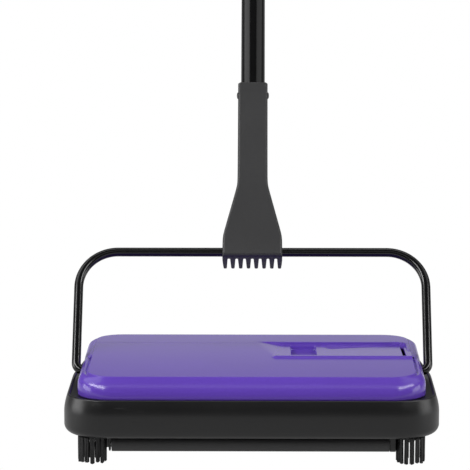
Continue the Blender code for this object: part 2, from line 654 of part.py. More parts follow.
def make_brush():
    axis = (0, 0, BRUSH_HEIGHT)
    spindle_end = PLATE_X + PLATE_THICKNESS + 0.0010
    spindle = rod("brush_spindle", SPINDLE_RADIUS, -spindle_end, spindle_end, 10)
    place(spindle, BRIGHT_STEEL, head, axis, ALONG_X)
    core_half = WHEEL_X - TYRE_WIDTH / 2 - 0.0020
    core = sleeve("brush_core", CORE_RADIUS, SPINDLE_RADIUS + GAP, -core_half, core_half, 12)
    place(core, BLACK_SATIN, head, axis, ALONG_X)

    count = BRUSH_ROWS * 4
    outer_loops = []
    inner_loops = []
    for section in range(BRUSH_SECTIONS):
        share = section / (BRUSH_SECTIONS - 1)
        x = BRUSH_HALF * (2 * share - 1)
        twist = BRUSH_TWIST * share
        outer = []
        inner = []
        for i in range(count):
            row_angle = 2 * math.pi * (i // 4) / BRUSH_ROWS
            offsets = (-0.42, -0.17, 0.17, 0.42)
            radii = (CORE_RADIUS + 0.004, BRUSH_RADIUS, BRUSH_RADIUS, CORE_RADIUS + 0.004)
            angle = row_angle + offsets[i % 4] * 2 * math.pi / BRUSH_ROWS + twist
            radius = radii[i % 4]
            outer.append((x, radius * math.cos(angle), radius * math.sin(angle)))
            bore = (CORE_RADIUS + GAP) / math.cos(math.pi / 12)
            inner.append((x, bore * math.cos(angle), bore * math.sin(angle)))
        outer_loops.append(outer)
        inner_loops.append(inner)
    bristles = lofted("brush_bristles", outer_loops + inner_loops[::-1], ring=True)
    place(bristles, BLACK_BRISTLE, head, axis)

    for side, sign in SIDES.items():
        turn = ALONG_X if sign > 0 else (0, -math.pi / 2, 0)
        half = TYRE_WIDTH / 2 + 0.0005
        drum_radius = DRUM_RADIUS - GAP
        low = WHEEL_X - half
        high = WHEEL_X + half
        bore = SPINDLE_RADIUS + GAP
        drum = sleeve(f"brush_drum_{side}", drum_radius, bore, low, high, 20)
        place(drum, GREY_RUBBER, head, axis, turn)
        flange_low = high + 0.0006
        flange_high = PLATE_X - GAP
        outer = PLATE_X + PLATE_THICKNESS
        bore = SPINDLE_RADIUS + RUNNING_GAP
        flange = BEARING_RADIUS + BEARING_FLANGE
        profile = [(BEARING_RADIUS, outer), (BEARING_RADIUS, flange_high), (flange, flange_high)]
        profile += [(flange, flange_low), (bore, flange_low), (bore, outer)]
        bearing = turned(f"brush_bearing_{side}", profile, 12, ring=True)
        place(bearing, GREY_PLASTIC, head, axis, turn)


# ---- Dust pans
def make_pan(end, facing):
    """A tray on a hinge barrel. The rear pan is the same moulding turned half round."""
    turn = (0, 0, 0) if facing < 0 else (0, 0, math.pi)
    hinge = empty(f"{end}_pan_hinge", (0, facing * PAN_HINGE_Y, PAN_HINGE_HEIGHT), turn, head)
    low = -PAN_FLOOR_DROP
    back = -0.0016
    outline = [(back, PAN_WALL_RISE), (back, low), (PAN_FLAT, low), (PAN_LIP, 0.0)]
    outline += [(PAN_LIP - 0.001, 0.0030), (0.030, PAN_WALL_RISE)]
    tray = place(section(f"{end}_pan", outline, 2 * PAN_HALF, "YZ"), BLACK_SATIN, hinge)
    barrel_length = BARREL_RIGHT - BARREL_LEFT
    barrel = rod(f"{end}_barrel", BARREL_RADIUS, -barrel_length / 2, barrel_length / 2, 16)
    join(tray, barrel, hinge, ((BARREL_LEFT + BARREL_RIGHT) / 2, 0, 0), ALONG_X)
    wall = PAN_WALL
    inside = [(BARREL_RADIUS + 0.0008, PAN_WALL_RISE + 0.01), (BARREL_RADIUS + 0.0008, low + wall)]
    inside += [(PAN_FLAT - 0.0008, low + wall), (PAN_LIP - 0.0030, 0.0004)]
    inside += [(PAN_LIP + 0.004, 0.0140), (PAN_LIP + 0.004, PAN_WALL_RISE + 0.01)]
    cut(tray, section(f"{end}_pan_hollow", inside, 2 * (PAN_HALF - wall), "YZ"), hinge)
    pin_hole = PAN_PIN_RADIUS + GAP
    for name, start, sign in (("left", BARREL_LEFT, 1), ("right", BARREL_RIGHT, -1)):
        depth = PIN_DEPTH + GAP
        hole = rod(f"{end}_pin_hole_{name}", pin_hole, -0.002, depth, 10)
        cut(tray, hole, hinge, (start, 0, 0), (0, sign * math.pi / 2, 0))
    seat_depth = SPRING_LENGTH + 2 * SPRING_WIRE
    seat_radius = SPRING_RADIUS + SPRING_WIRE / 2 + GAP
    seat = rod(f"{end}_spring_seat", seat_radius, -0.002, seat_depth, 12)
    cut(tray, seat, hinge, (BARREL_LEFT, 0, 0), (0, math.pi / 2, 0))

    steps = 9 * SPRING_TURNS
    start = BARREL_LEFT + SPRING_WIRE
    coil = []
    for i in range(steps + 1):
        angle = 2 * math.pi * i / 9
        x = start + SPRING_LENGTH * i / steps
        coil.append((x, SPRING_RADIUS * math.cos(angle), SPRING_RADIUS * math.sin(angle)))
    place(wire(f"{end}_pan_spring", coil, SPRING_WIRE / 2, 1), SPRING_STEEL, hinge)
    right_out = BARREL_RIGHT + GAP + LUG_THICKNESS
    left_out = BARREL_LEFT - GAP - TAB_THICKNESS
    right_pin = rod(f"{end}_pan_pin_right", PAN_PIN_RADIUS, BARREL_RIGHT - PIN_DEPTH, right_out, 10)
    left_pin = rod(f"{end}_pan_pin_left", PAN_PIN_RADIUS, left_out, BARREL_LEFT + PIN_DEPTH, 10)
    place(right_pin, BRIGHT_STEEL, hinge, (0, 0, 0), ALONG_X)
    place(left_pin, BRIGHT_STEEL, hinge, (0, 0, 0), ALONG_X)


# ---- Corner brushes
def make_corner_brush(end, facing, side, sign):
    """A disc with a ring of tapered fingers, free to turn on a headed pin."""
    top = FRAME_BOTTOM - GAP
    bottom = top - CORNER_DISC
    bore = CORNER_PIN_RADIUS + RUNNING_GAP
    inner = CORNER_RADIUS * 0.64
    profile = [(CORNER_RADIUS, top), (CORNER_RADIUS, bottom), (inner, bottom)]
    profile += [(bore, bottom), (bore, top)]
    shape = bmesh.new()
    verts = [shape.verts.new((radius, 0, height)) for radius, height in profile]
    edges = [shape.edges.new((verts[i], verts[(i + 1) % len(verts)])) for i in range(len(verts))]
    steps = 2 * CORNER_FINGERS
    whole = {"cent": (0, 0, 0), "axis": (0, 0, 1), "angle": 2 * math.pi, "steps": steps}
    bmesh.ops.spin(shape, geom=verts + edges, use_merge=True, **whole)
    bmesh.ops.remove_doubles(shape, verts=shape.verts, dist=0.000001)
    bmesh.ops.recalc_face_normals(shape, faces=shape.faces)
    roots = []
    for face in shape.faces:
        middle = face.calc_center_median()
        outer_band = abs(middle.z - bottom) < 1e-6 and middle.to_2d().length > inner
        turn = math.atan2(middle.y, middle.x) / (2 * math.pi) * steps
        if outer_band and math.floor(turn + 1000) % 2 == 0:
            roots.append(face)
    fingers = bmesh.ops.extrude_discrete_faces(shape, faces=roots)["faces"]
    for finger in fingers:
        middle = finger.calc_center_median()
        for vert in finger.verts:
            spread = middle + (vert.co - middle) * 0.72
            vert.co = (spread.x, spread.y, CORNER_TIP_HEIGHT)
    brush = from_bmesh(f"corner_brush_{end}_{side}", shape)
    at = (sign * CORNER_X, facing * CORNER_Y, 0)
    place(brush, BLACK_BRISTLE, head, at)
    head_top = bottom - GAP
    pin_top = DECK_BOTTOM - CORNER_PIN_DEPTH - 2 * SINK
    head_low = head_top - CORNER_PIN_HEAD
    pin = [(0, pin_top), (CORNER_PIN_RADIUS, pin_top), (CORNER_PIN_RADIUS, head_top)]
    pin += [(2 * CORNER_PIN_RADIUS, head_top), (1.6 * CORNER_PIN_RADIUS, head_low), (0, head_low)]
    place(turned(f"corner_pin_{end}_{side}", pin, 10), BRIGHT_STEEL, head, at)


# ---- Bail and bushes
def make_bail():
    """One bent wire: turned-in ends, legs, two round bends and the crossbar."""
    half = [(BAIL_END, 0)]
    low_steps = 4
    top_steps = 8
    for i in range(low_steps + 1):
        angle = (i / low_steps - 1) * math.pi / 2
        x = BAIL_HALF - BAIL_LOW_BEND + BAIL_LOW_BEND * math.cos(angle)
        half.append((x, BAIL_LOW_BEND + BAIL_LOW_BEND * math.sin(angle)))
    for i in range(top_steps + 1):
        angle = i / top_steps * math.pi / 2
        x = BAIL_HALF - BAIL_TOP_BEND + BAIL_TOP_BEND * math.cos(angle)
        half.append((x, BAIL_HEIGHT - BAIL_TOP_BEND + BAIL_TOP_BEND * math.sin(angle)))
    points = [(-x, 0, height) for x, height in half] + [(x, 0, height) for x, height in half[::-1]]
    place(wire("bail", points, WIRE_RADIUS, 4), BLACK_PAINT, handle)
    low, high = BAIL_BOSS_X
    for side, sign in SIDES.items():
        bore = WIRE_RADIUS + RUNNING_GAP
        outer = bore + BUSH_WALL
        bush = sleeve(f"bail_bush_{side}", outer, bore, low - 0.0005, high + 0.0005, 16)
        turn = ALONG_X if sign > 0 else (0, -math.pi / 2, 0)
        place(bush, GREY_PLASTIC, head, (0, 0, BAIL_PIVOT_HEIGHT), turn)


# ---- Handle socket with its comb
def socket_loop(along, half_x, back):
    """A rounded rectangle across the handle, from the broad face to back."""
    front = -SOCKET_WIDTH / 2
    middle = (front + back) / 2
    half_y = (back - front) / 2
    loop = plan_loop(half_x, half_y, SOCKET_FILLET, along, 2)
    return [(x, y + middle, z) for x, y, z in loop]


def make_socket():
    half = SOCKET_WIDTH / 2
    wide = COMB_WIDTH / 2
    hook_top = BAIL_HEIGHT + WIRE_RADIUS + GAP + HOOK_BRIDGE
    loops = [socket_loop(COMB_END, wide, COMB_BACK), socket_loop(FLARE_BOTTOM, wide, COMB_BACK)]
    loops += [socket_loop(hook_top + 0.006, wide - 0.0033, half), socket_loop(FLARE_TOP, half, half)]
    rounded = half - SOCKET_TOP_ROUND
    loops += [socket_loop(SOCKET_TOP - SOCKET_TOP_ROUND, half, half)]
    loops += [socket_loop(SOCKET_TOP, rounded, rounded)]
    socket = place(lofted("handle_socket", loops), BLACK_SATIN, handle)
    bore = TUBE_RADIUS + GAP + 0.0001
    cut(socket, rod("socket_bore", bore, TUBE_BOTTOM - GAP, SOCKET_TOP + 0.01, TUBE_STEPS), handle)

    cavity_front = -half + SOCKET_WALL
    low = hook_top + 0.0004
    high = TUBE_BOTTOM - CAVITY_FLOOR
    cavity = []
    for along in (low, high):
        share = min(1, max(0, (along - FLARE_BOTTOM) / (FLARE_TOP - FLARE_BOTTOM)))
        half_x = wide + (half - wide) * share - SOCKET_WALL
        cavity.append([(half_x, cavity_front, along), (half_x, half + 0.01, along),
                       (-half_x, half + 0.01, along), (-half_x, cavity_front, along)])
    cut(socket, lofted("socket_cavity", cavity), handle)

    clear = WIRE_RADIUS + GAP + 0.0001
    outline = [(along, -across) for along, across in arch(clear, -COMB_BACK - 0.01, 12)]
    notch = section("crossbar_notch", outline, COMB_WIDTH + 0.01, "ZY")
    cut(socket, notch, handle, (0, 0, BAIL_HEIGHT))

    pitch = (COMB_WIDTH - TOOTH_ROOT) / (TEETH - 1)
    gap_root = -half + COMB_FACE_WALL
    gap_end = COMB_BACK + 0.002
    root_half = (pitch - TOOTH_ROOT) / 2
    tip_half = (pitch - TOOTH_ROOT * TOOTH_TIP_RATIO) / 2
    for i in range(TEETH - 1):
        x = pitch * (i - (TEETH - 2) / 2)
        outline = [(x - root_half, gap_root), (x + root_half, gap_root)]
        outline += [(x + tip_half, gap_end), (x - tip_half, gap_end)]
        gap = section(f"tooth_gap_{i + 1}", outline, TOOTH_SLOT, "XY")
        cut(socket, gap, handle, (0, 0, BAIL_HEIGHT - clear + SINK / 2 - TOOTH_SLOT / 2))

    hole = BUTTON_RADIUS + GAP
    holes = rod("socket_button_holes", hole, -SOCKET_WIDTH, SOCKET_WIDTH, 12)
    cut(socket, holes, handle, (0, 0, BUTTON_AT), ALONG_X)


def make_buttons():
    """Two snap buttons, held out by the leg ends of a bent strip inside the tube."""
    tip = SOCKET_WIDTH / 2 + BUTTON_PROUD
    profile = [(0, tip), (BUTTON_RADIUS * 0.6, tip - 0.0003), (BUTTON_RADIUS, tip - 0.0011)]
    profile += [(BUTTON_RADIUS, BUTTON_FOOT), (0, BUTTON_FOOT)]
    for side, sign in SIDES.items():
        turn = ALONG_X if sign > 0 else (0, -math.pi / 2, 0)
        place(turned(f"button_{side}", profile, 12), BLACK_SATIN, handle, (0, 0, BUTTON_AT), turn)
    outer = BUTTON_FOOT - GAP
    top = BUTTON_AT - BUTTON_RADIUS - 2 * GAP
    inner = outer - STRIP_THICKNESS
    bottom = BUTTON_AT - STRIP_DROP
    outline = [(outer, top), (inner, top)]
    for i in range(7):
        angle = -i * math.pi / 6
        outline.append((inner * math.cos(angle), bottom + inner * math.sin(angle)))
    outline += [(-inner, top), (-outer, top)]
    for i in range(7):
        angle = math.pi + i * math.pi / 6
        outline.append((outer * math.cos(angle), bottom + outer * math.sin(angle)))
    place(section("button_spring", outline, STRIP_WIDTH, "XZ"), SPRING_STEEL, handle)


# ---- Handle tubes and grip
def make_tubes():
    inner = TUBE_RADIUS - TUBE_WALL
    spigot = inner - GAP
    for i, name in enumerate(("lower_tube", "middle_tube", "upper_tube")):
        bottom = TUBE_BOTTOM + i * TUBE_LENGTH
        top = bottom + TUBE_LENGTH - GAP
        if name == "upper_tube":
            profile = [(TUBE_RADIUS, top), (TUBE_RADIUS, bottom), (inner, bottom), (inner, top)]
        else:
            neck = top - SWAGE_BEND
            end = top + SWAGE_LENGTH
            core = spigot - TUBE_WALL
            profile = [(spigot, end), (spigot, top), (TUBE_RADIUS, neck), (TUBE_RADIUS, bottom)]
            profile += [(inner, bottom), (inner, neck - TUBE_WALL), (core, top - TUBE_WALL), (core, end)]
        tube = place(turned(name, profile, TUBE_STEPS, ring=True), BLACK_PAINT, handle)
        if name == "lower_tube":
            hole = rod("tube_button_holes", BUTTON_RADIUS + GAP, -SOCKET_WIDTH, SOCKET_WIDTH, 12)
            cut(tube, hole, handle, (0, 0, BUTTON_AT), ALONG_X)


def make_grip():
    """A moulded grip with a flared lip at its lower end and a domed top."""
    bore = TUBE_RADIUS + GAP + 0.0001
    lip = GRIP_RADIUS + GRIP_LIP
    centre = GRIP_TOP - GRIP_RADIUS
    profile = [(0, TUBES_TOP + GAP), (bore, TUBES_TOP + GAP), (bore, GRIP_BOTTOM)]
    profile += [(lip - SINK, GRIP_BOTTOM), (lip, GRIP_BOTTOM + SINK), (lip, GRIP_BOTTOM + 4 * SINK)]
    profile += [(GRIP_RADIUS - GRIP_WAIST, GRIP_BOTTOM + GRIP_LIP_HEIGHT)]
    profile += [(GRIP_RADIUS, GRIP_BOTTOM + GRIP_LENGTH / 2)]
    steps = 5
    for i in range(steps + 1):
        angle = i * math.pi / 2 / steps
        profile.append((GRIP_RADIUS * math.cos(angle), centre + GRIP_RADIUS * math.sin(angle)))
    profile[-1] = (0, GRIP_TOP)
    place(turned("grip", profile[::-1], TUBE_STEPS), BLACK_SATIN, handle)


make_frame()
make_cover()
make_cover_screws()
make_end_plates()
make_wheels()
make_brush()
for end_name, end_sign in ENDS.items():
    make_pan(end_name, end_sign)
    for side_name, side_sign in SIDES.items():
        make_corner_brush(end_name, end_sign, side_name, side_sign)
make_bail()
make_socket()
make_buttons()
make_tubes()
make_grip()
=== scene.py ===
import json
import math

import bpy
import numpy as np
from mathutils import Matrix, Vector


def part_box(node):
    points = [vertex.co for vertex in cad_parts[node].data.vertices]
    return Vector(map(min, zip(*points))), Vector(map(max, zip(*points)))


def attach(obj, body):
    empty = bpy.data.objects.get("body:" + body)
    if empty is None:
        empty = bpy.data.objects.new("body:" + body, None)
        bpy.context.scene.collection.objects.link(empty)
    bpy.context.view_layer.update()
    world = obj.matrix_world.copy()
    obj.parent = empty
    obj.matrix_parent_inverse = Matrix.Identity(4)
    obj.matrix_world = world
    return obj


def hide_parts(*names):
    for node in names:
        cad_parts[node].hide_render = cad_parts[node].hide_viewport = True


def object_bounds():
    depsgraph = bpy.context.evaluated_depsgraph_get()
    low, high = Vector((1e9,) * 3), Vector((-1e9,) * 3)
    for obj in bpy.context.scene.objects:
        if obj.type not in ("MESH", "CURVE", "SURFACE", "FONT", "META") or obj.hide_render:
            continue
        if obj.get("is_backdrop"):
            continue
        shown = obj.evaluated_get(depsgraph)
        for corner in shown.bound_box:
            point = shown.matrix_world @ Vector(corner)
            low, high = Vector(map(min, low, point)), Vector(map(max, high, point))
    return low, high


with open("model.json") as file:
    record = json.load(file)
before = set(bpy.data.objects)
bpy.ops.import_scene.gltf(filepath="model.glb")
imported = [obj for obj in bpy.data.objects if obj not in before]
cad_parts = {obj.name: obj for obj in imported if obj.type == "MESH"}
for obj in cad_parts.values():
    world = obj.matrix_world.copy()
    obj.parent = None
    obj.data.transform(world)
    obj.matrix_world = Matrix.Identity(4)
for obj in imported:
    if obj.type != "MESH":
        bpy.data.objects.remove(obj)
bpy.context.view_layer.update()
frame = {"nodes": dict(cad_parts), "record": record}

# ---- Studio
# A plain white sweep under long softboxes in front and above, with larger ones at both sides, in a room
# that is dark on the viewer's side and glows low down behind the head.
# The camera stands 2.1 m in front of it and looks down by nine degrees.
HEAD_Y = sum(corner.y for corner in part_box("top_cover")) / 2
CAMERA_AT = (0.0086, HEAD_Y - 2.1333, 0.4932)
CAMERA_DOWN = 0.1559
CAMERA_TURN = 0.0101
LENS = 218.3

camera = bpy.data.objects.new("camera", bpy.data.cameras.new("camera"))
camera.data.sensor_width = 36
camera.data.lens = LENS
camera.data.clip_end = 60
camera.location = CAMERA_AT
camera.rotation_euler = (math.pi / 2 - CAMERA_DOWN, 0, CAMERA_TURN)
bpy.context.scene.collection.objects.link(camera)
bpy.context.scene.camera = camera
bpy.context.scene.view_settings.view_transform = "Standard"


def node(tree, kind, inputs=(), **settings):
    """A node with its settings; inputs pairs each socket with a value or with another node's output."""
    made = tree.nodes.new(kind)
    for key, value in settings.items():
        setattr(made, key, value)
    for key, value in inputs:
        if isinstance(value, bpy.types.NodeSocket):
            tree.links.new(value, made.inputs[key])
        else:
            made.inputs[key].default_value = value
    return made


def ramp(tree, source, stops):
    """A colour ramp over a value; stops are (place, grey)."""
    made = node(tree, "ShaderNodeValToRGB", [("Fac", source)])
    bands = made.color_ramp.elements
    for extra in stops[2:]:
        bands.new(extra[0])
    for band, (at, grey) in zip(sorted(bands, key=lambda b: b.position), sorted(stops)):
        band.position = at
        band.color = (grey, grey, grey, 1)
    return made.outputs["Color"]


def scaled(tree, value, low, high, to_low=0.0, to_high=1.0):
    """A value taken in a straight line from one range to another, and held at both ends."""
    inputs = [("Value", value), ("From Min", low), ("From Max", high)]
    inputs += [("To Min", to_low), ("To Max", to_high)]
    return node(tree, "ShaderNodeMapRange", inputs).outputs["Result"]


def blended(tree, share, first, second):
    """Two colours mixed: first times (1 - share), plus second times share."""
    return node(tree, "ShaderNodeMix", [(0, share), (6, first), (7, second)], data_type="RGBA").outputs[2]


GLOW = [(0.0, 0.38), (0.06, 0.45), (0.11, 0.60), (0.15, 0.68), (0.19, 0.45), (0.24, 0.25), (0.4, 0.2)]
DARK = [(0.0, 0.07), (0.06, 0.025), (0.5, 0.015), (1.0, 0.05)]
room = bpy.data.worlds.new("room")
bpy.context.scene.world = room
room.use_nodes = True
tree = room.node_tree
tree.nodes.clear()
looking = node(tree, "ShaderNodeTexCoord").outputs["Generated"]
parts = node(tree, "ShaderNodeSeparateXYZ", [("Vector", looking)]).outputs
behind = scaled(tree, parts["Y"], 0.0, 0.6)
walls_glow = blended(tree, behind, ramp(tree, parts["Z"], DARK), ramp(tree, parts["Z"], GLOW))
off_side = node(tree, "ShaderNodeMath", [(0, parts["X"])], operation="ABSOLUTE").outputs[0]
dimming = scaled(tree, off_side, 0.05, 0.30, 1.0, 0.45)
under = scaled(tree, parts["Z"], -0.02, -0.12)
lifted = node(tree, "ShaderNodeMath", [(0, under), (1, 2.5), (2, dimming)], operation="MULTIPLY_ADD")
studio = node(tree, "ShaderNodeBackground", [("Color", walls_glow), ("Strength", lifted.outputs[0])])
plain = node(tree, "ShaderNodeBackground", [("Color", (1, 1, 1, 1)), ("Strength", 1.0)])
seen = node(tree, "ShaderNodeLightPath").outputs["Is Camera Ray"]
either = node(tree, "ShaderNodeMixShader", [("Fac", seen), (1, studio.outputs[0]), (2, plain.outputs[0])])
node(tree, "ShaderNodeOutputWorld", [("Surface", either.outputs[0])])


def softbox(name, azimuth, elevation, distance, size, power):
    """A soft rectangular light that faces the head; azimuth is to the right of the viewer, in degrees."""
    lamp = bpy.data.lights.new(name, "AREA")
    lamp.shape = "RECTANGLE"
    lamp.size, lamp.size_y = size
    lamp.energy = power
    light = bpy.data.objects.new(name, lamp)
    side, lift = math.radians(azimuth), math.radians(elevation)
    way = Vector((math.sin(side) * math.cos(lift), -math.cos(side) * math.cos(lift), math.sin(lift)))
    light.location = Vector((0, HEAD_Y, 0.06)) + distance * way
    light.rotation_euler = way.to_track_quat("Z", "Y").to_euler()
    bpy.context.scene.collection.objects.link(light)


softbox("left_box", -52, 37, 1.9, (1.6, 0.34), 19)
softbox("right_box", 52, 37, 1.9, (1.6, 0.34), 14)
softbox("front_box", 0, 42, 2.2, (2.2, 0.4), 2.2)
softbox("left_side", -95, 46, 1.9, (1.5, 1.2), 8)
softbox("right_side", 95, 46, 1.9, (1.5, 1.2), 4)
softbox("top_box", 180, 76, 1.9, (1.6, 0.5), 5)
softbox("left_low", -84, 4, 1.7, (1.0, 0.9), 11)
softbox("right_low", 84, 4, 1.7, (1.0, 0.9), 8)

REACH = 9
PAPER_GREY = (0.3, 0.3, 0.3, 1)
PAPER_GLOW = 0.38
floor_mesh = bpy.data.meshes.new("floor")
floor_corners = [(-REACH, -REACH, 0), (REACH, -REACH, 0), (REACH, REACH, 0), (-REACH, REACH, 0)]
floor_mesh.from_pydata(floor_corners, [], [(0, 1, 2, 3)])
floor = bpy.data.objects.new("floor", floor_mesh)
bpy.context.scene.collection.objects.link(floor)
paper = bpy.data.materials.new("white_paper")
paper.use_nodes = True
tree = paper.node_tree
sheet = tree.nodes["Principled BSDF"]
sheet.inputs["Base Color"].default_value = PAPER_GREY
sheet.inputs["Roughness"].default_value = 0.9
sheet.inputs["Specular IOR Level"].default_value = 0.0
sheet.inputs["Emission Color"].default_value = (1, 1, 1, 1)
sheet.inputs["Emission Strength"].default_value = PAPER_GLOW
white = node(tree, "ShaderNodeEmission", [("Strength", 1.0)])
seen = node(tree, "ShaderNodeLightPath").outputs["Is Camera Ray"]
sweep = node(tree, "ShaderNodeMixShader", [("Fac", seen), (1, sheet.outputs[0]), (2, white.outputs[0])])
below = node(tree, "ShaderNodeNewGeometry").outputs["Backfacing"]
clear = node(tree, "ShaderNodeBsdfTransparent")
one_way = node(tree, "ShaderNodeMixShader", [("Fac", below), (1, sweep.outputs[0]), (2, clear.outputs[0])])
tree.links.new(one_way.outputs[0], tree.nodes["Material Output"].inputs["Surface"])
floor_mesh.materials.append(paper)
floor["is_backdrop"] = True

# ---- Frame of the head
# The lower half of the head: one black moulding, open below, with a bellied wall, a raised rim and a
# gutter that the cover stands in. It is glass-filled polypropylene with a fine spark-eroded grain.
HEAD_X = 139.0
HEAD_HALF_Y = 97.5
HEAD_CORNER = 32.0
WALL = 2.6
FOOT = 21.0
FOOT_ROUND = 6.5
FOOT_LIP = 10.5
BELLY = 37.5
RIM = 50.0
RIM_LEAN = 2.3
GUTTER = 48.6
GUTTER_INSET = 12.5


def group(name, inputs):
    """A node group that puts out a Mask and a Height: the group, its inputs, Object coordinates, its ends."""
    made = bpy.data.node_groups.new(name, "ShaderNodeTree")
    for label, value in inputs:
        socket = made.interface.new_socket(label, in_out="INPUT", socket_type="NodeSocketFloat")
        socket.default_value = value
    made.interface.new_socket("Mask", in_out="OUTPUT", socket_type="NodeSocketFloat")
    made.interface.new_socket("Height", in_out="OUTPUT", socket_type="NodeSocketFloat")
    ins = made.nodes.new("NodeGroupInput").outputs
    place = made.nodes.new("ShaderNodeTexCoord").outputs["Object"]
    return made, ins, place, made.nodes.new("NodeGroupOutput").inputs


def value_of(tree, kind, first, second):
    """One arithmetic step between two sockets or numbers."""
    return node(tree, "ShaderNodeMath", [(0, first), (1, second)], operation=kind).outputs[0]


grain, ins, place, outs = group("moulded_grain", [("Scale", 900.0), ("Depth", 0.5)])
fine = node(grain, "ShaderNodeTexNoise", [("Vector", place), ("Scale", ins["Scale"]), ("Detail", 3.0)])
broad = node(grain, "ShaderNodeTexNoise", [("Vector", place), ("Scale", 14.0), ("Detail", 2.0)])
grain.links.new(value_of(grain, "MULTIPLY", fine.outputs["Fac"], ins["Depth"]), outs["Height"])
grain.links.new(value_of(grain, "MULTIPLY", fine.outputs["Fac"], broad.outputs["Fac"]), outs["Mask"])

scuffs, ins, place, outs = group("light_scuffs", [("Amount", 0.3), ("Stretch", 30.0)])
slanting = [("Vector", place), ("Scale", (60.0, 900.0, 900.0)), ("Rotation", (0.3, 0.5, 0.7))]
drawn = node(scuffs, "ShaderNodeMapping", slanting)
lines_of = node(scuffs, "ShaderNodeTexNoise", [("Vector", drawn.outputs[0]), ("Scale", 1.0), ("Detail", 2.0)])
thin = scaled(scuffs, lines_of.outputs["Fac"], 0.66, 0.72)
where = node(scuffs, "ShaderNodeTexNoise", [("Vector", place), ("Scale", ins["Stretch"]), ("Detail", 1.0)])
patches = scaled(scuffs, where.outputs["Fac"], 0.48, 0.7)
both = value_of(scuffs, "MULTIPLY", thin, patches)
marks = value_of(scuffs, "MULTIPLY", both, ins["Amount"])
scuffs.links.new(marks, outs["Mask"])
scuffs.links.new(value_of(scuffs, "MULTIPLY", marks, -1.0), outs["Height"])

dust, ins, place, outs = group("settled_dust", [("Amount", 0.1), ("Scale", 300.0)])
facing = node(dust, "ShaderNodeNewGeometry").outputs["Normal"]
upward = node(dust, "ShaderNodeSeparateXYZ", [("Vector", facing)]).outputs["Z"]
lying = scaled(dust, upward, 0.3, 1.0)
specks = node(dust, "ShaderNodeTexNoise", [("Vector", place), ("Scale", ins["Scale"]), ("Detail", 4.0)])
caught = value_of(dust, "MULTIPLY", lying, specks.outputs["Fac"])
dust.links.new(value_of(dust, "MULTIPLY", caught, ins["Amount"]), outs["Mask"])
dust.links.new(caught, outs["Height"])
DUST_GREY = (0.45, 0.44, 0.43, 1)
GRAIN_RANGE = (0.1, 0.4)


def finish(name, colour, roughness, metallic=0.0, tone=0.8, scale=900.0, depth=0.00004, worn=0.3, dusty=0.05):
    """A moulded or painted finish. The grain takes the colour from tone times itself up to itself, and the
    roughness eight per cent either way; dust lies over the colour, and scuffs add to the roughness."""
    made = bpy.data.materials.new(name)
    made.use_nodes = True
    tree = made.node_tree
    shader = tree.nodes["Principled BSDF"]
    shader.inputs["Metallic"].default_value = metallic
    texture = node(tree, "ShaderNodeGroup", [("Scale", scale)], node_tree=grain)
    scratch = node(tree, "ShaderNodeGroup", [("Amount", worn)], node_tree=scuffs)
    film = node(tree, "ShaderNodeGroup", [("Amount", dusty)], node_tree=dust)
    deep = tuple(channel * tone for channel in colour) + (1,)
    share = scaled(tree, texture.outputs["Mask"], *GRAIN_RANGE)
    body = blended(tree, share, deep, (*colour, 1))
    coated = blended(tree, film.outputs["Mask"], body, DUST_GREY)
    tree.links.new(coated, shader.inputs["Base Color"])
    rough = scaled(tree, texture.outputs["Mask"], *GRAIN_RANGE, roughness * 0.92, roughness * 1.08)
    marked = value_of(tree, "ADD", rough, scratch.outputs["Mask"])
    tree.links.new(marked, shader.inputs["Roughness"])
    height = value_of(tree, "ADD", texture.outputs["Height"], scratch.outputs["Height"])
    bump = node(tree, "ShaderNodeBump", [("Height", height), ("Distance", depth), ("Strength", 1.0)])
    tree.links.new(bump.outputs[0], shader.inputs["Normal"])
    return made


def grid_faces(rows, columns, around=False, along=False):
    """Corner numbers of the faces between neighbouring rows and columns of a grid of points."""
    row = np.arange(rows if along else rows - 1)[:, None]
    column = np.arange(columns if around else columns - 1)[None, :]
    below = (row + 1) % rows
    beside = (column + 1) % columns
    near, far = row * columns, below * columns
    corners = [near + column, near + beside, far + beside, far + column]
    return np.stack(np.broadcast_arrays(*corners), -1).reshape(-1, 4)


def shell(points, along=False, poles=None):
    """A closed skin through rows of points, each row a loop. along joins the last row to the first;
    otherwise the first and last rows are closed by fans about their middles, or about the given poles."""
    rows, columns = points.shape[:2]
    flat = points.reshape(-1, 3)
    quads = grid_faces(rows, columns, True, along)
    if along:
        return flat, quads, np.empty((0, 3), int)
    if poles is None:
        poles = [points[0].mean(0), points[-1].mean(0)]
    here = np.arange(columns)
    after = (here + 1) % columns
    last = (rows - 1) * columns
    first_fan = np.stack([after, here, np.full(columns, rows * columns)], 1)
    last_fan = np.stack([last + here, last + after, np.full(columns, rows * columns + 1)], 1)
    return np.vstack([flat, poles]), quads, np.vstack([first_fan, last_fan])


def head_place(points):
    """From the head's millimetres to the frame's metres."""
    return points / 1000 + (0, HEAD_Y, 0)


def put(name, shells, body, material, replaced=(), place_of=head_place, crease=38):
    """One object from closed skins, each turned to face outwards: its volume, the sum over its triangles of
    a . (b x c), has to be positive."""
    points, corners, sizes = [], [], []
    count = 0
    for flat, quads, threes in shells:
        quads = np.asarray(quads).reshape(-1, 4)
        halves = np.vstack([quads[:, :3], quads[:, [0, 2, 3]], threes])
        a, b, c = (flat[halves[:, k]] - flat.mean(0) for k in range(3))
        if np.einsum("ij,ij->i", a, np.cross(b, c)).sum() < 0:
            quads, threes = quads[:, ::-1], threes[:, ::-1]
        points.append(flat)
        corners += [quads.ravel() + count, threes.ravel() + count]
        sizes += [np.full(len(quads), 4), np.full(len(threes), 3)]
        count += len(flat)
    return meshed(name, np.vstack(points), np.concatenate(corners), np.concatenate(sizes),
                  body, material, replaced, place_of, crease)


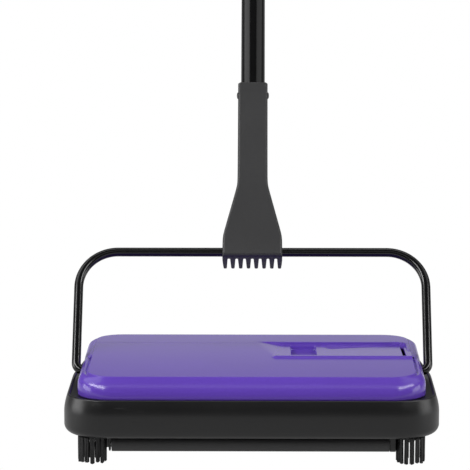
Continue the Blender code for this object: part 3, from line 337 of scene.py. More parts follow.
def meshed(name, points, corners, sizes, body, material, replaced, place_of, crease):
    """The object itself: its mesh from arrays, its finish and the body that it rides on."""
    mesh = bpy.data.meshes.new(name)
    mesh.vertices.add(len(points))
    mesh.vertices.foreach_set("co", place_of(points).astype(np.float32).ravel())
    mesh.loops.add(len(corners))
    mesh.loops.foreach_set("vertex_index", corners.astype(np.int32))
    mesh.polygons.add(len(sizes))
    mesh.polygons.foreach_set("loop_start", (np.cumsum(sizes) - sizes).astype(np.int32))
    mesh.update(calc_edges=True)
    mesh.shade_smooth()
    mesh.set_sharp_from_angle(angle=math.radians(crease))
    mesh.materials.append(material)
    piece = bpy.data.objects.new(name, mesh)
    bpy.context.scene.collection.objects.link(piece)
    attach(piece, body)
    if replaced:
        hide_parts(*replaced)
    return piece


def outline_keys(arc, across, deep):
    """Where points lie on any rounded rectangle: the first pair places a corner circle's centre as a share
    of its range, and the second is the direction out of it."""
    corners = [(1, 1), (-1, 1), (-1, -1), (1, -1)]
    keys = []
    for quarter, (a, b) in enumerate(corners):
        turn = (quarter + np.linspace(0, 1, arc + 1)) * math.pi / 2
        keys.append(np.stack([np.full(arc + 1, a), np.full(arc + 1, b), np.cos(turn), np.sin(turn)], 1))
        next_a, next_b = corners[(quarter + 1) % 4]
        share = np.linspace(0, 1, (across, deep)[quarter % 2] + 1)[1:-1]
        out = np.broadcast_to(keys[-1][-1, 2:], (len(share), 2))
        keys.append(np.column_stack([a + (next_a - a) * share, b + (next_b - b) * share, out]))
    return np.vstack(keys)


def outline(keys, half_x, half_y, corner):
    """Rows of points on rounded rectangles, one row for each size: centre share times its range, plus the
    corner's radius along its direction."""
    half_x, half_y, corner = (np.asarray(value, float).reshape(-1, 1) for value in (half_x, half_y, corner))
    x = keys[:, 0] * (half_x - corner) + keys[:, 2] * corner
    y = keys[:, 1] * (half_y - corner) + keys[:, 3] * corner
    return x, y


def loops_of(keys, half_x, half_y, corner, height):
    """The same as rows of points in space, each row at its height."""
    x, y = outline(keys, half_x, half_y, corner)
    return np.stack([x, y, np.broadcast_to(np.asarray(height, float).reshape(-1, 1), x.shape)], -1)


def frame_section():
    """(inset, height) points round the wall: a quarter circle at the foot, a belly, an easing in to the rim,
    the rim's round top, the gutter's floor, and the same line back, one wall thickness in."""
    turn = np.linspace(0, math.pi / 2, 12)
    foot = np.stack([FOOT_ROUND * (1 - np.sin(turn)), FOOT + FOOT_ROUND * (1 - np.cos(turn))], 1)
    rise = np.linspace(0, 1, 10)[1:]
    upper = np.stack([RIM_LEAN * rise**1.7, BELLY + (RIM - 0.9 - BELLY) * rise], 1)
    tip = np.linspace(math.pi, 0, 9)[1:]
    lip = np.stack([RIM_LEAN + 1.1 + 1.1 * np.cos(tip), RIM - 0.9 + 0.9 * np.sin(tip)], 1)
    floor_line = [(RIM_LEAN + 2.3, GUTTER + 0.1), (RIM_LEAN + 2.7, GUTTER), (GUTTER_INSET, GUTTER)]
    under = [(GUTTER_INSET, GUTTER - WALL), (RIM_LEAN + WALL, GUTTER - WALL), (WALL, BELLY)]
    bend = FOOT_ROUND - WALL
    inner = np.stack([WALL + bend * (1 - np.sin(turn)), FOOT + WALL + bend * (1 - np.cos(turn))], 1)
    lowest = [(FOOT_LIP, FOOT + WALL), (FOOT_LIP, FOOT)]
    return np.vstack([foot, [(0, BELLY)], upper, lip, floor_line, under, inner[::-1], lowest])


DRAW_IN = 0.043
NEAR_BLACK = (0.0055, 0.0055, 0.0058)
black_plastic = finish("black_plastic", NEAR_BLACK, 0.33, scale=1400.0, depth=0.00003, dusty=0.02)
section = frame_section()
inset, height = section[:, 0], section[:, 1]
keys = outline_keys(16, 40, 28)
ring = loops_of(keys, HEAD_X - inset, HEAD_HALF_Y - inset, HEAD_CORNER - inset, height)
# The sides draw in towards the rear, by a cubic easing over the 80 mm behind the middle.
rearward = np.clip((ring[..., 1] + 5) / 80, 0, 1)
ring[..., 0] *= 1 - DRAW_IN * rearward**2 * (3 - 2 * rearward)
put("frame_wall", [shell(ring, along=True)], "head", black_plastic, ["frame_shell"])

# ---- Decks, bosses and hinge lugs of the frame
# Closed decks over the wheels at both ends, the bored bosses of the bail, the corner posts that the
# brushes turn on, and the lugs that carry the pans' hinge pins. All are moulded in one with the frame.
DECK_TOP = 48.3
DECK_INNER = 98.5
DECK_INSET = 16.0
BAIL_PIVOT = 53.0
POST_AT = (117.5, 78.0)
HINGE_Y = 80.0
HINGE_Z = 14.6
BARREL = (-103.5, 101.7)
BOSS_X = (112.0, 118.0)
BOSS_RADIUS = 7.4
POST_RADIUS = 4.2
RIB_HALF = (3.0, 0.7)
RIB_OUT = 6.5
SIDES = {"left": -1, "right": 1}
ENDS = {"front": -1, "rear": 1}


def lathe(profile, steps, axis="Z"):
    """Rows of points of a (radius, along) profile turned about an axis."""
    profile = np.asarray(profile, float)
    turn = np.linspace(0, 2 * math.pi, steps, endpoint=False)
    radius = profile[:, :1]
    along = np.broadcast_to(profile[:, 1:], (len(profile), steps))
    first, second = radius * np.cos(turn), radius * np.sin(turn)
    return np.stack([first, second, along] if axis == "Z" else [along, first, second], -1)


def bar(radius, low, high, steps, axis="Z", at=(0, 0, 0), chamfer=0.3):
    """A round bar: a profile of its radius along its length, drawn in at both ends, turned about an axis."""
    ease = min(chamfer, radius / 2)
    profile = [(radius - ease, low), (radius, low + ease), (radius, high - ease), (radius - ease, high)]
    return shell(lathe(profile, steps, axis) + at)


def slab(low, high, corner=0.6, axis="Z"):
    """A plate between two opposite corners, as rounded rectangles drawn in at both ends of an axis."""
    low, high = np.asarray(low, float), np.asarray(high, float)
    order = {"Z": (0, 1, 2), "X": (1, 2, 0), "Y": (0, 2, 1)}[axis]
    half, mid = (high - low)[list(order)] / 2, (high + low)[list(order)] / 2
    ease = min(corner, half[2]) * 0.5
    keys = outline_keys(4, 1, 1)
    inset = np.array([ease, 0, 0, ease])
    rows = loops_of(keys, half[0] - inset, half[1] - inset, np.maximum(corner - inset, 0.05),
                    [-half[2], ease - half[2], half[2] - ease, half[2]]) + mid
    placed = np.empty_like(rows)
    placed[..., list(order)] = rows
    return shell(placed)


def deck(sign):
    """The frame's outline, drawn in and kept only beyond the deck's inner edge, as a plate."""
    rows = loops_of(outline_keys(10, 4, 12), [HEAD_X - DECK_INSET] * 2, [HEAD_HALF_Y - DECK_INSET] * 2,
                    [HEAD_CORNER - DECK_INSET] * 2, [DECK_TOP - WALL, DECK_TOP])
    rows[..., 0] = sign * np.maximum(sign * rows[..., 0], DECK_INNER)
    return shell(rows, poles=rows.mean(1) + (sign * 4, 0, 0))


def arched(low_x, high_x, radius, foot, at):
    """A lug across X: a half circle, y = r cos t and z = r sin t, on straight sides to its foot."""
    turn = np.linspace(0, math.pi, 17)
    way = -1 if foot > 0 else 1
    y = np.concatenate([radius * np.cos(turn), [-radius, radius]])
    z = np.concatenate([way * radius * np.sin(turn), [foot, foot]])
    ease = 0.35
    drawn_in = 1 - ease / radius
    rows = []
    for x, share in ((low_x, drawn_in), (low_x + ease, 1), (high_x - ease, 1), (high_x, drawn_in)):
        rows.append(np.stack([np.full(len(y), x), y * share, z * share], 1))
    return shell(np.array(rows) + (0, at[0], at[1]))


for side, sign in SIDES.items():
    shells = [deck(sign)]
    span = sorted((sign * BOSS_X[0], sign * BOSS_X[1]))
    shells.append(arched(*span, BOSS_RADIUS, DECK_TOP - BAIL_PIVOT - 1, (0, BAIL_PIVOT)))
    for facing in ENDS.values():
        y = facing * POST_AT[1]
        shells.append(bar(POST_RADIUS, FOOT + 0.5, DECK_TOP - 1, 20, at=(sign * POST_AT[0], y, 0)))
        for rib in (-1, 1):
            x = sign * (POST_AT[0] + rib * RIB_OUT)
            low = (x - RIB_HALF[0], y - RIB_HALF[1], FOOT + 2)
            shells.append(slab(low, (x + RIB_HALF[0], y + RIB_HALF[1], DECK_TOP - 1)))
    put(f"frame_deck_{side}", shells, "head", black_plastic, ["frame_shell"])

for end, facing in ENDS.items():
    shells = []
    at = (facing * HINGE_Y, HINGE_Z)
    right_lug = (BARREL[1] + 0.3, BARREL[1] + 4.6, 5.8)
    left_lug = (BARREL[0] - 1.7, BARREL[0] - 0.3, 5.4)
    for low_x, high_x, radius in (right_lug, left_lug):
        span = sorted((-facing * low_x, -facing * high_x))
        shells.append(arched(*span, radius, FOOT + WALL / 2 - HINGE_Z, at))
    put(f"hinge_lugs_{end}", shells, "head", black_plastic, ["frame_shell"])

# ---- Cover
# The upper half of the head, one glossy purple moulding in polished ABS. Its sides curve in to a nearly
# flat top, whose right half holds a sloping storage bed with a pocket, a scoop and a slot.
COVER_BASE = 48.9
COVER_TOP = 66.0
COVER_HALF = (129.0, 89.0)
COVER_DRAW = (7.6, 7.0)
COVER_CORNERS = (26.0, 20.0)
COVER_POWER = 2.2
COVER_WALL = 2.2
CROWN = 0.7
BED_Y = (-13.5, 49.0)
BED_Z = (67.3, 63.5)
BED_END = 119.0
BED_ROUND = 8.0
POCKET = (30.0, 49.0, -8.0, 44.0)
POCKET_FLOOR = 60.6
SCOOP_X = (53.0, 60.5, 106.0)
SCOOP_Y = (26.0, 45.0)
SCOOP_DEPTH = 3.2
SLOT = (114.5, 117.2, -11.0, 38.0)
NOTCH = 4.5
PLATEAU = (COVER_HALF[0] - COVER_DRAW[0], COVER_HALF[1] - COVER_DRAW[1])


def smooth(value, low, high):
    """0 below low, 1 above high, and a cubic easing between."""
    share = np.clip((value - low) / (high - low), 0, 1)
    return share * share * (3 - 2 * share)


def between(value, low, high, edge):
    """1 inside a range and 0 outside, with an eased edge of the given width."""
    half = edge / 2
    return smooth(value, low - half, low + half) * (1 - smooth(value, high - half, high + half))


def cover_height(x, y):
    """The top's height: a crown that falls as y squared, the bed's straight slope inside its outline, whose
    left edge slants and whose rear right corner is a circle's arc, the pocket's floor, and last the scoop,
    a triangle with a slanted front edge, deepest there and running out to the rear."""
    height = COVER_TOP - CROWN * (y / PLATEAU[1]) ** 2
    slope = BED_Z[0] + (BED_Z[1] - BED_Z[0]) * (y - BED_Y[0]) / (BED_Y[1] - BED_Y[0])
    rearward = np.clip((y - BED_Y[0]) / (BED_Y[1] - BED_Y[0]), 0, 1)
    start = 15.0 - 13.0 * rearward
    left = smooth(x, start, start + 3.0 + 24.0 * rearward)
    rounding = np.clip(y - (BED_Y[1] - BED_ROUND), 0, BED_ROUND)
    reach = BED_END - BED_ROUND + np.sqrt(BED_ROUND**2 - rounding**2)
    right = 1 - smooth(x, reach - 0.5, reach + 0.5) * smooth(y, 10, 17)
    inside = left * right * between(y, BED_Y[0], BED_Y[1], 0.8)
    height = height + (slope - height) * inside
    pocket = between(x, POCKET[0], POCKET[1], 0.7) * between(y, POCKET[2], POCKET[3], 0.7)
    height = height + (POCKET_FLOOR - height) * pocket
    slant = np.clip((x - SCOOP_X[1]) / (SCOOP_X[2] - SCOOP_X[1]), 0, 1)
    start_of = np.clip((SCOOP_X[1] - x) / (SCOOP_X[1] - SCOOP_X[0]), 0, 1)
    front = SCOOP_Y[0] + (SCOOP_Y[1] - SCOOP_Y[0]) * np.maximum(slant, start_of)
    scooped = smooth(y, front - 0.6, front + 0.6) * (1 - smooth(y, SCOOP_Y[1] - 0.6, SCOOP_Y[1] + 0.2))
    run_out = SCOOP_Y[1] + 3
    return height - SCOOP_DEPTH * scooped * np.clip((run_out - y) / (run_out - SCOOP_Y[0]), 0, 1)


def lines(low, high, step, edges, fine_step):
    """Grid lines at a step, with five closer ones about each edge, so that moulded edges stay crisp."""
    edges = np.asarray(edges, float)
    even = np.linspace(low, high, int(round((high - low) / step)) + 1)
    even = even[np.abs(even[:, None] - edges).min(1) > 2 * fine_step]
    near = (edges[:, None] + fine_step * np.arange(-2, 3)).ravel()
    merged = np.unique(np.round(np.concatenate([[low, high], even, near]), 3))
    merged = merged[(merged >= low) & (merged <= high)]
    keep = np.concatenate([[True], np.diff(merged) > 0.04])
    return merged[keep]


# The top is a grid of lines across and along; towards the front and rear its rows shorten round the corners.
core_y = PLATEAU[1] - COVER_CORNERS[1]
turn = np.linspace(0, math.pi / 2, 15)[1:]
edges_y = [*BED_Y, POCKET[2], POCKET[3], *SCOOP_Y, SLOT[2], SLOT[3], -NOTCH, NOTCH]
flat_y = lines(-core_y, core_y, 2.8, edges_y, 0.2)
flat_y = np.unique(np.concatenate([flat_y, np.arange(SCOOP_Y[0] - 2, SCOOP_Y[1] + 1, 0.8)]))
flat_y = flat_y[np.concatenate([[True], np.diff(flat_y) > 0.05])]
round_y = core_y + COVER_CORNERS[1] * np.sin(turn)
grid_y = np.concatenate([-round_y[::-1], flat_y, round_y])
out_y = np.concatenate([-turn[::-1], np.zeros(len(flat_y)), turn])
width_y = PLATEAU[0] - COVER_CORNERS[1] * (1 - np.cos(out_y))
edges_x = [POCKET[0], POCKET[1], *SCOOP_X, SLOT[0], SLOT[1], BED_END]
grid_x = lines(-PLATEAU[0], PLATEAU[0], 3.4, edges_x, 0.2)
beside_edges = [0.4 - PLATEAU[0], PLATEAU[0] - 0.4]
about_scoop = np.arange(SCOOP_X[0] - 1, SCOOP_X[2] + 1, 1.0)
grid_x = np.unique(np.concatenate([grid_x, beside_edges, np.arange(3, 19, 0.6), about_scoop]))
grid_x = grid_x[np.concatenate([[True], np.diff(grid_x) > 0.05])]
share_x = grid_x / PLATEAU[0]
top_x = share_x[None, :] * width_y[:, None]
top_y = np.broadcast_to(grid_y[:, None], top_x.shape)
top = np.stack([top_x, top_y, cover_height(top_x, top_y)], -1)
rows, columns = top_x.shape
numbers = np.arange(rows * columns).reshape(rows, columns)
rim = np.concatenate([numbers[0], numbers[1:, -1], numbers[-1, -2::-1], numbers[-2:0:-1, 0]])
centre_b = np.clip(grid_y / core_y, -1, 1)
key_grid = np.zeros((rows, columns, 4))
key_grid[0] = np.stack([share_x, -np.ones(columns), np.zeros(columns), -np.ones(columns)], 1)
key_grid[-1] = key_grid[0] * (1, -1, 1, -1)
key_grid[:, -1] = np.stack([np.ones(rows), centre_b, np.cos(out_y), np.sin(out_y)], 1)
key_grid[:, 0] = key_grid[:, -1] * (-1, 1, -1, 1)
rim_keys = key_grid.reshape(-1, 4)[rim]
rim_top = top.reshape(-1, 3)[rim]
# The walls go down from the top's rim to the base. A point at share r of the height is drawn in by r to a
# power, higher at the sides, so that they bulge; its corner radius runs from the base's to the top's.
# The foot is arched over the bail's ends, about which a dent and a pit sink by a cosine and by easings.
CLOSE_DOWN = [0.010, 0.025, 0.045, 0.07, 0.10, 0.13, 0.16, 0.19, 0.23, 0.28, 0.34]
SIDE_BULGE = 4.5
DENT = (3.0, 18.0)
PIT = 2.6
PILLOW = (1.2, 0.88, 0.06)
GROOVE = (1.5, 0.965, 0.022)
down = np.concatenate([CLOSE_DOWN, np.linspace(0.4, 1, 11)])[:, None]
arch_top = BAIL_PIVOT + np.sqrt(np.maximum(NOTCH**2 - rim_top[:, 1] ** 2, 0))
arch = np.where(np.abs(rim_top[:, 1]) < NOTCH, arch_top, COVER_BASE)
foot_z = np.where(np.abs(rim_keys[:, 2]) > 0.99, arch, COVER_BASE)
wall_z = rim_top[:, 2] + (foot_z - rim_top[:, 2]) * down
rise = np.clip((wall_z - COVER_BASE) / (COVER_TOP - CROWN - COVER_BASE), 0, 1)
sideways = np.abs(rim_keys[:, 2])
lean_x = rise ** (COVER_POWER + SIDE_BULGE * sideways**2)
lean_y = rise**COVER_POWER
round_at = COVER_CORNERS[0] + (COVER_CORNERS[1] - COVER_CORNERS[0]) * rise
core_x_at = COVER_HALF[0] - COVER_DRAW[0] * lean_x - round_at
core_y_at = COVER_HALF[1] - COVER_DRAW[1] * lean_y - round_at
wall_x = rim_keys[:, 0] * core_x_at + rim_keys[:, 2] * round_at
wall_y = rim_keys[:, 1] * core_y_at + rim_keys[:, 3] * round_at
dent = DENT[0] * (1 + np.cos(math.pi * np.clip(wall_y / DENT[1], -1, 1))) / 2 * sideways * (1 - rise**4)
wall_x = wall_x - np.sign(rim_keys[:, 2]) * dent
pit = PIT * between(wall_y, -10, 2, 4) * smooth(rise, 0.3, 0.6) * (1 - rise**4) * sideways
wall_x = wall_x - np.sign(rim_keys[:, 2]) * pit
# Along the front half of each side the edge swells in a soft pillow, with a groove above it: two bell curves.
along_side = sideways * smooth(wall_y, -80, -60) * (1 - smooth(wall_y, -6, 1))
swell = PILLOW[0] * np.exp(-(((rise - PILLOW[1]) / PILLOW[2]) ** 2))
swell = swell - GROOVE[0] * np.exp(-(((rise - GROOVE[1]) / GROOVE[2]) ** 2))
wall_z = wall_z + along_side * swell
walls = np.stack([wall_x, wall_y, wall_z], -1)
points = np.vstack([top.reshape(-1, 3), walls.reshape(-1, 3)])
top_faces = grid_faces(rows, columns)
middles = points[top_faces].mean(1)
through = (middles[:, 0] > SLOT[0]) & (middles[:, 0] < SLOT[1])
through &= (middles[:, 1] > SLOT[2]) & (middles[:, 1] < SLOT[3])
wall_numbers = rows * columns + np.arange(walls.shape[0] * len(rim)).reshape(-1, len(rim))
ring_numbers = np.vstack([rim, wall_numbers])
after = np.roll(ring_numbers, -1, axis=1)
wall_faces = np.stack([ring_numbers[:-1], ring_numbers[1:], after[1:], after[:-1]], -1).reshape(-1, 4)
faces = np.vstack([top_faces[~through], wall_faces])
used = np.unique(faces)
fresh = np.zeros(len(points), int)
fresh[used] = np.arange(len(used))

PURPLE = (0.126, 0.058, 0.470)
purple = finish("purple_gloss", PURPLE, 0.19, tone=0.93, scale=500.0, depth=0.000003, worn=0.03, dusty=0.015)
cover = meshed("cover_skin", points[used], fresh[faces].ravel(), np.full(len(faces), 4), "head",
               purple, ["top_cover"], head_place, 50)
thick = cover.modifiers.new("wall", "SOLIDIFY")
thick.thickness = COVER_WALL / 1000
thick.offset = -1

# ---- Bail
# One length of 7 mm steel wire, bent into an arch with turned-in ends that pivot in the frame's bosses,
# and painted gloss black.
WIRE = 3.5
BAIL_X = 134.4
BAIL_TOP = 100.4
TOP_BEND = 30.0
LOW_BEND = 6.0
BAIL_END = 110.0
LEAN = math.radians(35)


def handle_place(points):
    """From the handle's millimetres (across, behind, along) to the frame's metres, turned back by LEAN about
    the pivot."""
    x, behind, along = points[:, 0], points[:, 1], points[:, 2]
    y = along * math.sin(LEAN) + behind * math.cos(LEAN)
    z = BAIL_PIVOT + along * math.cos(LEAN) - behind * math.sin(LEAN)
    return head_place(np.stack([x, y, z], 1))


def swept(path, radius, sides, flat=(0, 1, 0)):
    """A round wire along a path that lies in the plane across flat: a circle about each point, in the plane
    of the flat direction and of the path's normal. The first and last circles are smaller, as eased ends."""
    path = np.asarray(path, float)
    along = np.gradient(path, axis=0)
    along /= np.linalg.norm(along, axis=1)[:, None]
    normal = np.cross(along, flat)
    turn = np.linspace(0, 2 * math.pi, sides, endpoint=False)
    size = np.full(len(path), float(radius))
    size[[0, -1]] *= 0.8
    circle = np.cos(turn)[None, :, None] * normal[:, None] + np.sin(turn)[None, :, None] * np.array(flat)
    return shell(path[:, None] + size[:, None, None] * circle)


def bail_path():
    """Half of the arch, from the turned-in end round the low bend, up the leg, round the top bend and along
    the crossbar to its middle, and its mirror image."""
    low = np.linspace(-math.pi / 2, 0, 9)
    high = np.linspace(0, math.pi / 2, 25)
    start = np.array([(BAIL_END, 0), (BAIL_END + 0.5, 0), (BAIL_END + 6, 0), (BAIL_X - LOW_BEND - 4, 0)])
    low_x, top_x = BAIL_X - LOW_BEND, BAIL_X - TOP_BEND
    bend = np.stack([low_x + LOW_BEND * np.cos(low), LOW_BEND + LOW_BEND * np.sin(low)], 1)
    leg = np.stack([np.full(10, BAIL_X), np.linspace(LOW_BEND + 3, BAIL_TOP - TOP_BEND - 3, 10)], 1)
    top_arc = np.stack([top_x + TOP_BEND * np.cos(high), BAIL_TOP - TOP_BEND + TOP_BEND * np.sin(high)], 1)
    bar_x = np.linspace(top_x - 4, 0, 20)
    crossbar = np.stack([bar_x, np.full(20, BAIL_TOP)], 1)
    half = np.vstack([start, bend, leg, top_arc, crossbar])
    whole = np.vstack([half, (half * (-1, 1))[-2::-1]])
    return np.stack([whole[:, 0], np.zeros(len(whole)), whole[:, 1]], 1)


PAINT_BLACK = (0.0035, 0.0035, 0.0038)
black_paint = finish("black_paint", PAINT_BLACK, 0.17, scale=120.0, depth=0.000002, worn=0.05, dusty=0.01)
put("bail_wire", [swept(bail_path(), WIRE, 32)], "handle", black_paint, ["bail"], handle_place)

# ---- Handle socket and its comb
# One black moulding that hooks over the crossbar from behind. It is a square tube above, flares to a broad
# face below, and ends in a comb of eight teeth that cleans hair off the roller brush.
SOCKET_HALF = 11.75
SOCKET_TOP = 245.7
SOCKET_FILLET = 2.0
FLARE = (109.4, 154.8)
COMB_HALF = 23.25
COMB_END = 92.25
COMB_BACK = 12.6
COMB_ROOT = -4.25
COMB_ROUND = 3.0
TEETH = 8
TOOTH_HALF = (2.0, 1.35)
CHANNEL = 3.9
CAVITY_FLOOR = -9.1
CAVITY_U = (110.6, 160.4)
SIDE_WALL = 2.6
PITCH = 2 * (COMB_HALF - TOOTH_HALF[0]) / (TEETH - 1)
UNDERCUT = 22


def socket_half(along):
    """Half the width: the tube's above the flare, the comb's below it, and a straight taper between. Its ends
    are eased by the curve (sqrt(s^2 + e^2) + s) / 2, less the same of s - 1."""
    share = (FLARE[1] - along) / (FLARE[1] - FLARE[0])
    ease = 0.07
    soft = (np.sqrt(share**2 + ease**2) + share - np.sqrt((share - 1) ** 2 + ease**2) - (share - 1)) / 2
    return SOCKET_HALF + (COMB_HALF - SOCKET_HALF) * np.clip(soft, 0, 1)


def socket_back(x, along, half):
    """The back surface: the body's back, cut by the cavity, by the channel for the crossbar, and by the
    gaps between the teeth, whose tips and roots are round."""
    back = SOCKET_HALF + (COMB_BACK - SOCKET_HALF) * (1 - smooth(along, FLARE[0], FLARE[1]))
    inner = half - SIDE_WALL
    cavity = between(along, *CAVITY_U, 0.6) * (1 - smooth(np.abs(x), inner - 0.4, inner))
    back = back + (CAVITY_FLOOR - back) * cavity
    off = np.clip(np.abs(along - BAIL_TOP), 0, CHANNEL)
    bottom = -np.sqrt(np.maximum(CHANNEL**2 - off**2, 0))
    back = np.where(np.abs(along - BAIL_TOP) < CHANNEL, np.minimum(back, bottom), back)
    away = np.abs((x + COMB_HALF - TOOTH_HALF[0] + PITCH / 2) % PITCH - PITCH / 2)
    tip = COMB_BACK - TOOTH_HALF[1] + np.sqrt(np.maximum(TOOTH_HALF[1] ** 2 - away**2, 0))
    gap_half = PITCH / 2 - TOOTH_HALF[0]
    from_gap = PITCH / 2 - away
    root = COMB_ROOT - np.sqrt(np.maximum(gap_half**2 - np.minimum(from_gap, gap_half) ** 2, 0))
    flank = COMB_BACK - TOOTH_HALF[1] - (away - TOOTH_HALF[1]) * UNDERCUT
    tooth = np.where(away <= TOOTH_HALF[1] + 0.01, tip, flank)
    comb = np.where(from_gap < gap_half, root, np.maximum(tooth, COMB_ROOT))
    return np.where(along < BAIL_TOP - CHANNEL, comb, back)


def strip_ended(loops):
    """A skin whose first and last loops close by strips between their two halves."""
    rows, columns = loops.shape[:2]
    here = np.arange(columns // 2 - 1)
    there = columns - 1 - here
    strip = np.stack([here, here + 1, there - 1, there], 1)
    ends = [strip[:, ::-1], (rows - 1) * columns + strip]
    quads = np.vstack([grid_faces(rows, columns, True), *ends])
    return loops.reshape(-1, 3), quads, np.empty((0, 3), int)


def socket_skin():
    """Rows along the handle; each is a loop of the front face, its fillets and the back surface, which share
    the same lines across, so that the comb's end closes with one strip."""
    half_unit = np.array([0, 0.5, 1.0, 1.3, 1.4, 1.7, 1.96, 2.04, 2.5, 2.9])
    unit = np.concatenate([-half_unit[:0:-1], half_unit])
    centres = (np.arange(TEETH) - (TEETH - 1) / 2) * PITCH
    inner_half = COMB_HALF - SOCKET_FILLET
    across = np.unique(np.round((centres[:, None] + unit).ravel(), 3))
    across = across[np.abs(across) < inner_half - 0.05]
    share = np.concatenate([[-1], across / inner_half, [1]])
    bend = np.linspace(0, math.pi / 2, 6)[1:]
    share = np.concatenate([np.full(5, -1.0), share, np.full(5, 1.0)])
    angle = np.concatenate([-bend[::-1], np.zeros(len(across) + 2), bend])
    edge = [BAIL_TOP - CHANNEL, BAIL_TOP + CHANNEL]
    curve = COMB_END + COMB_ROUND * (1 - np.cos(np.linspace(0, math.pi / 2, 9)))
    channel = BAIL_TOP + CHANNEL * np.cos(np.linspace(0, math.pi, 19))
    along = np.concatenate([curve, np.add.outer(edge, [-0.02, 0.02]).ravel(), channel[1:-1],
                            CAVITY_U[0] + np.linspace(-0.4, 0.4, 5), CAVITY_U[1] + np.linspace(-0.4, 0.4, 5),
                            np.linspace(104.6, 170, 34), np.linspace(175, SOCKET_TOP - 1, 12)])
    along = np.unique(np.round(np.append(along, SOCKET_TOP - np.array([0.6, 0.25, 0.0])), 3))[:, None]
    half = socket_half(along)
    round_top = smooth(along, SOCKET_TOP - 1.0, SOCKET_TOP) * 0.8
    x = share * (half - SOCKET_FILLET) + SOCKET_FILLET * np.sin(angle)
    x = x * (1 - round_top / half)
    down_edge = np.clip(COMB_END + COMB_ROUND - along, 0, COMB_ROUND)
    front = -SOCKET_HALF + round_top + COMB_ROUND - np.sqrt(COMB_ROUND**2 - down_edge**2)
    front = front + SOCKET_FILLET * (1 - np.cos(angle))
    back = socket_back(x, along, half) - round_top
    side_drop = SOCKET_FILLET * (1 - np.cos(angle))
    back = np.where(along < BAIL_TOP + CHANNEL, back, back - side_drop)
    back = np.maximum(back, front + 0.3)
    height = np.broadcast_to(along, x.shape)
    loops = np.concatenate([np.stack([x, front, height], -1), np.stack([x, back, height], -1)[:, ::-1]], 1)
    return strip_ended(loops)


SATIN_BLACK = (0.030, 0.030, 0.031)
black_satin = finish("black_satin", SATIN_BLACK, 0.46, scale=1700.0, depth=0.00005, worn=0.2, dusty=0.03)
put("socket_body", [socket_skin()], "handle", black_satin, ["handle_socket"], handle_place, 34)

# ---- Snap buttons
# Two small domes moulded in black plastic. A bent strip of spring steel inside the tube pushes them out
# through a hole in the tube and one in each of the socket's sides, so that they lock the handle on.
BUTTON = 2.6
BUTTON_OUT = 12.0
BUTTON_DOME = 0.85
BUTTON_DOWN = 6.2
for side, sign in SIDES.items():
    arc = np.linspace(0, 1, 7)
    dome = [(BUTTON * math.cos(a * 1.35), BUTTON_OUT + BUTTON_DOME * math.sin(a * 1.35)) for a in arc]
    profile = [(BUTTON - 0.6, 8.0), (BUTTON, 8.3), *dome]
    rows_of = lathe(profile, 28, "X") * (sign, 1, 1) + (0, 0, SOCKET_TOP - BUTTON_DOWN)
    put(f"snap_button_{side}", [shell(rows_of)], f"button_{side}", black_satin,
        [f"button_{side}"], handle_place)

# ---- Handle tubes
# Three lengths of 19 mm steel tube, painted gloss black. The lower two end in a swaged neck that the next
# one slides over, and the lowest stands in the socket.
TUBE = 9.5
TUBE_START = 165.2
TUBE_LENGTH = 293.0
NECK_DROP = 0.8
NECK_REACH = 25.0
for number, name in enumerate(("lower_tube", "middle_tube", "upper_tube")):
    low = TUBE_START + number * TUBE_LENGTH
    high = low + TUBE_LENGTH - 0.3
    inner = TUBE - 0.6
    turn = np.linspace(0, math.pi / 2, 5)
    low_edge = [(TUBE - 0.25 + 0.25 * math.sin(a), low + 0.25 - 0.25 * math.cos(a)) for a in turn]
    if name == "upper_tube":
        high_edge = [(TUBE, high - 0.3), (TUBE - 0.3, high), (inner, high)]
    else:
        neck = np.linspace(0, 1, 9)
        swage = [(TUBE - NECK_DROP * float(smooth(share, 0, 1)), high - 3.2 + 3.2 * share) for share in neck]
        end = high + NECK_REACH
        mouth = [(TUBE - 1.0, end), (TUBE - 1.35, end), (TUBE - 1.35, high)]
        high_edge = [*swage, (TUBE - NECK_DROP, end - 0.4), *mouth]
    length = [(TUBE, low + (high - 4 - low) * share) for share in np.linspace(0.02, 1, 12)]
    profile = [*low_edge, *length, *high_edge, (inner, high - 4.5), (inner, low)]
    put(f"{name}_skin", [shell(lathe(profile, 56), along=True)], "handle", black_paint,
        [name], handle_place)

# ---- Grip
# A sleeve of soft black rubber, pushed over the upper tube's end. It has a flared lip below, shallow rings
# for the fingers and a domed top. Its waist is a bell curve, and its rings are a cosine along its length.
GRIP_LOW = TUBE_START + 3 * TUBE_LENGTH - 115.0
GRIP_HIGH = GRIP_LOW + 135.0
GRIP = 13.0
along = np.linspace(GRIP_LOW + 8, GRIP_HIGH - GRIP, 150)
rings = 0.35 * between(along, GRIP_LOW + 20, GRIP_HIGH - 30, 6) * (1 + np.cos(2 * math.pi * along / 5.0)) / 2
waist = GRIP - 0.8 * np.exp(-((along - GRIP_LOW - 9) / 25) ** 2) - rings
turn = np.linspace(0, 1, 12)[1:]
dome = np.stack([GRIP * np.cos(turn * 1.5), GRIP_HIGH - GRIP + GRIP * np.sin(turn * 1.5)], 1)
lip = np.array([(TUBE + 0.4, 0), (13.6, 0), (14.3, 0.5), (14.5, 1.4), (14.4, 3), (13.6, 5.2)]) + (0, GRIP_LOW)
profile = np.vstack([lip, np.stack([waist, along], 1), dome])
SOFT_BLACK = (0.012, 0.012, 0.012)
grip_rubber = finish("grip_rubber", SOFT_BLACK, 0.62, scale=2200.0, depth=0.00006, worn=0.1, dusty=0.06)
sleeve = shell(lathe(profile, 56), poles=[(0, 0, GRIP_LOW), (0, 0, GRIP_HIGH)])
put("grip_sleeve", [sleeve], "handle", grip_rubber, ["grip"], handle_place, 50)

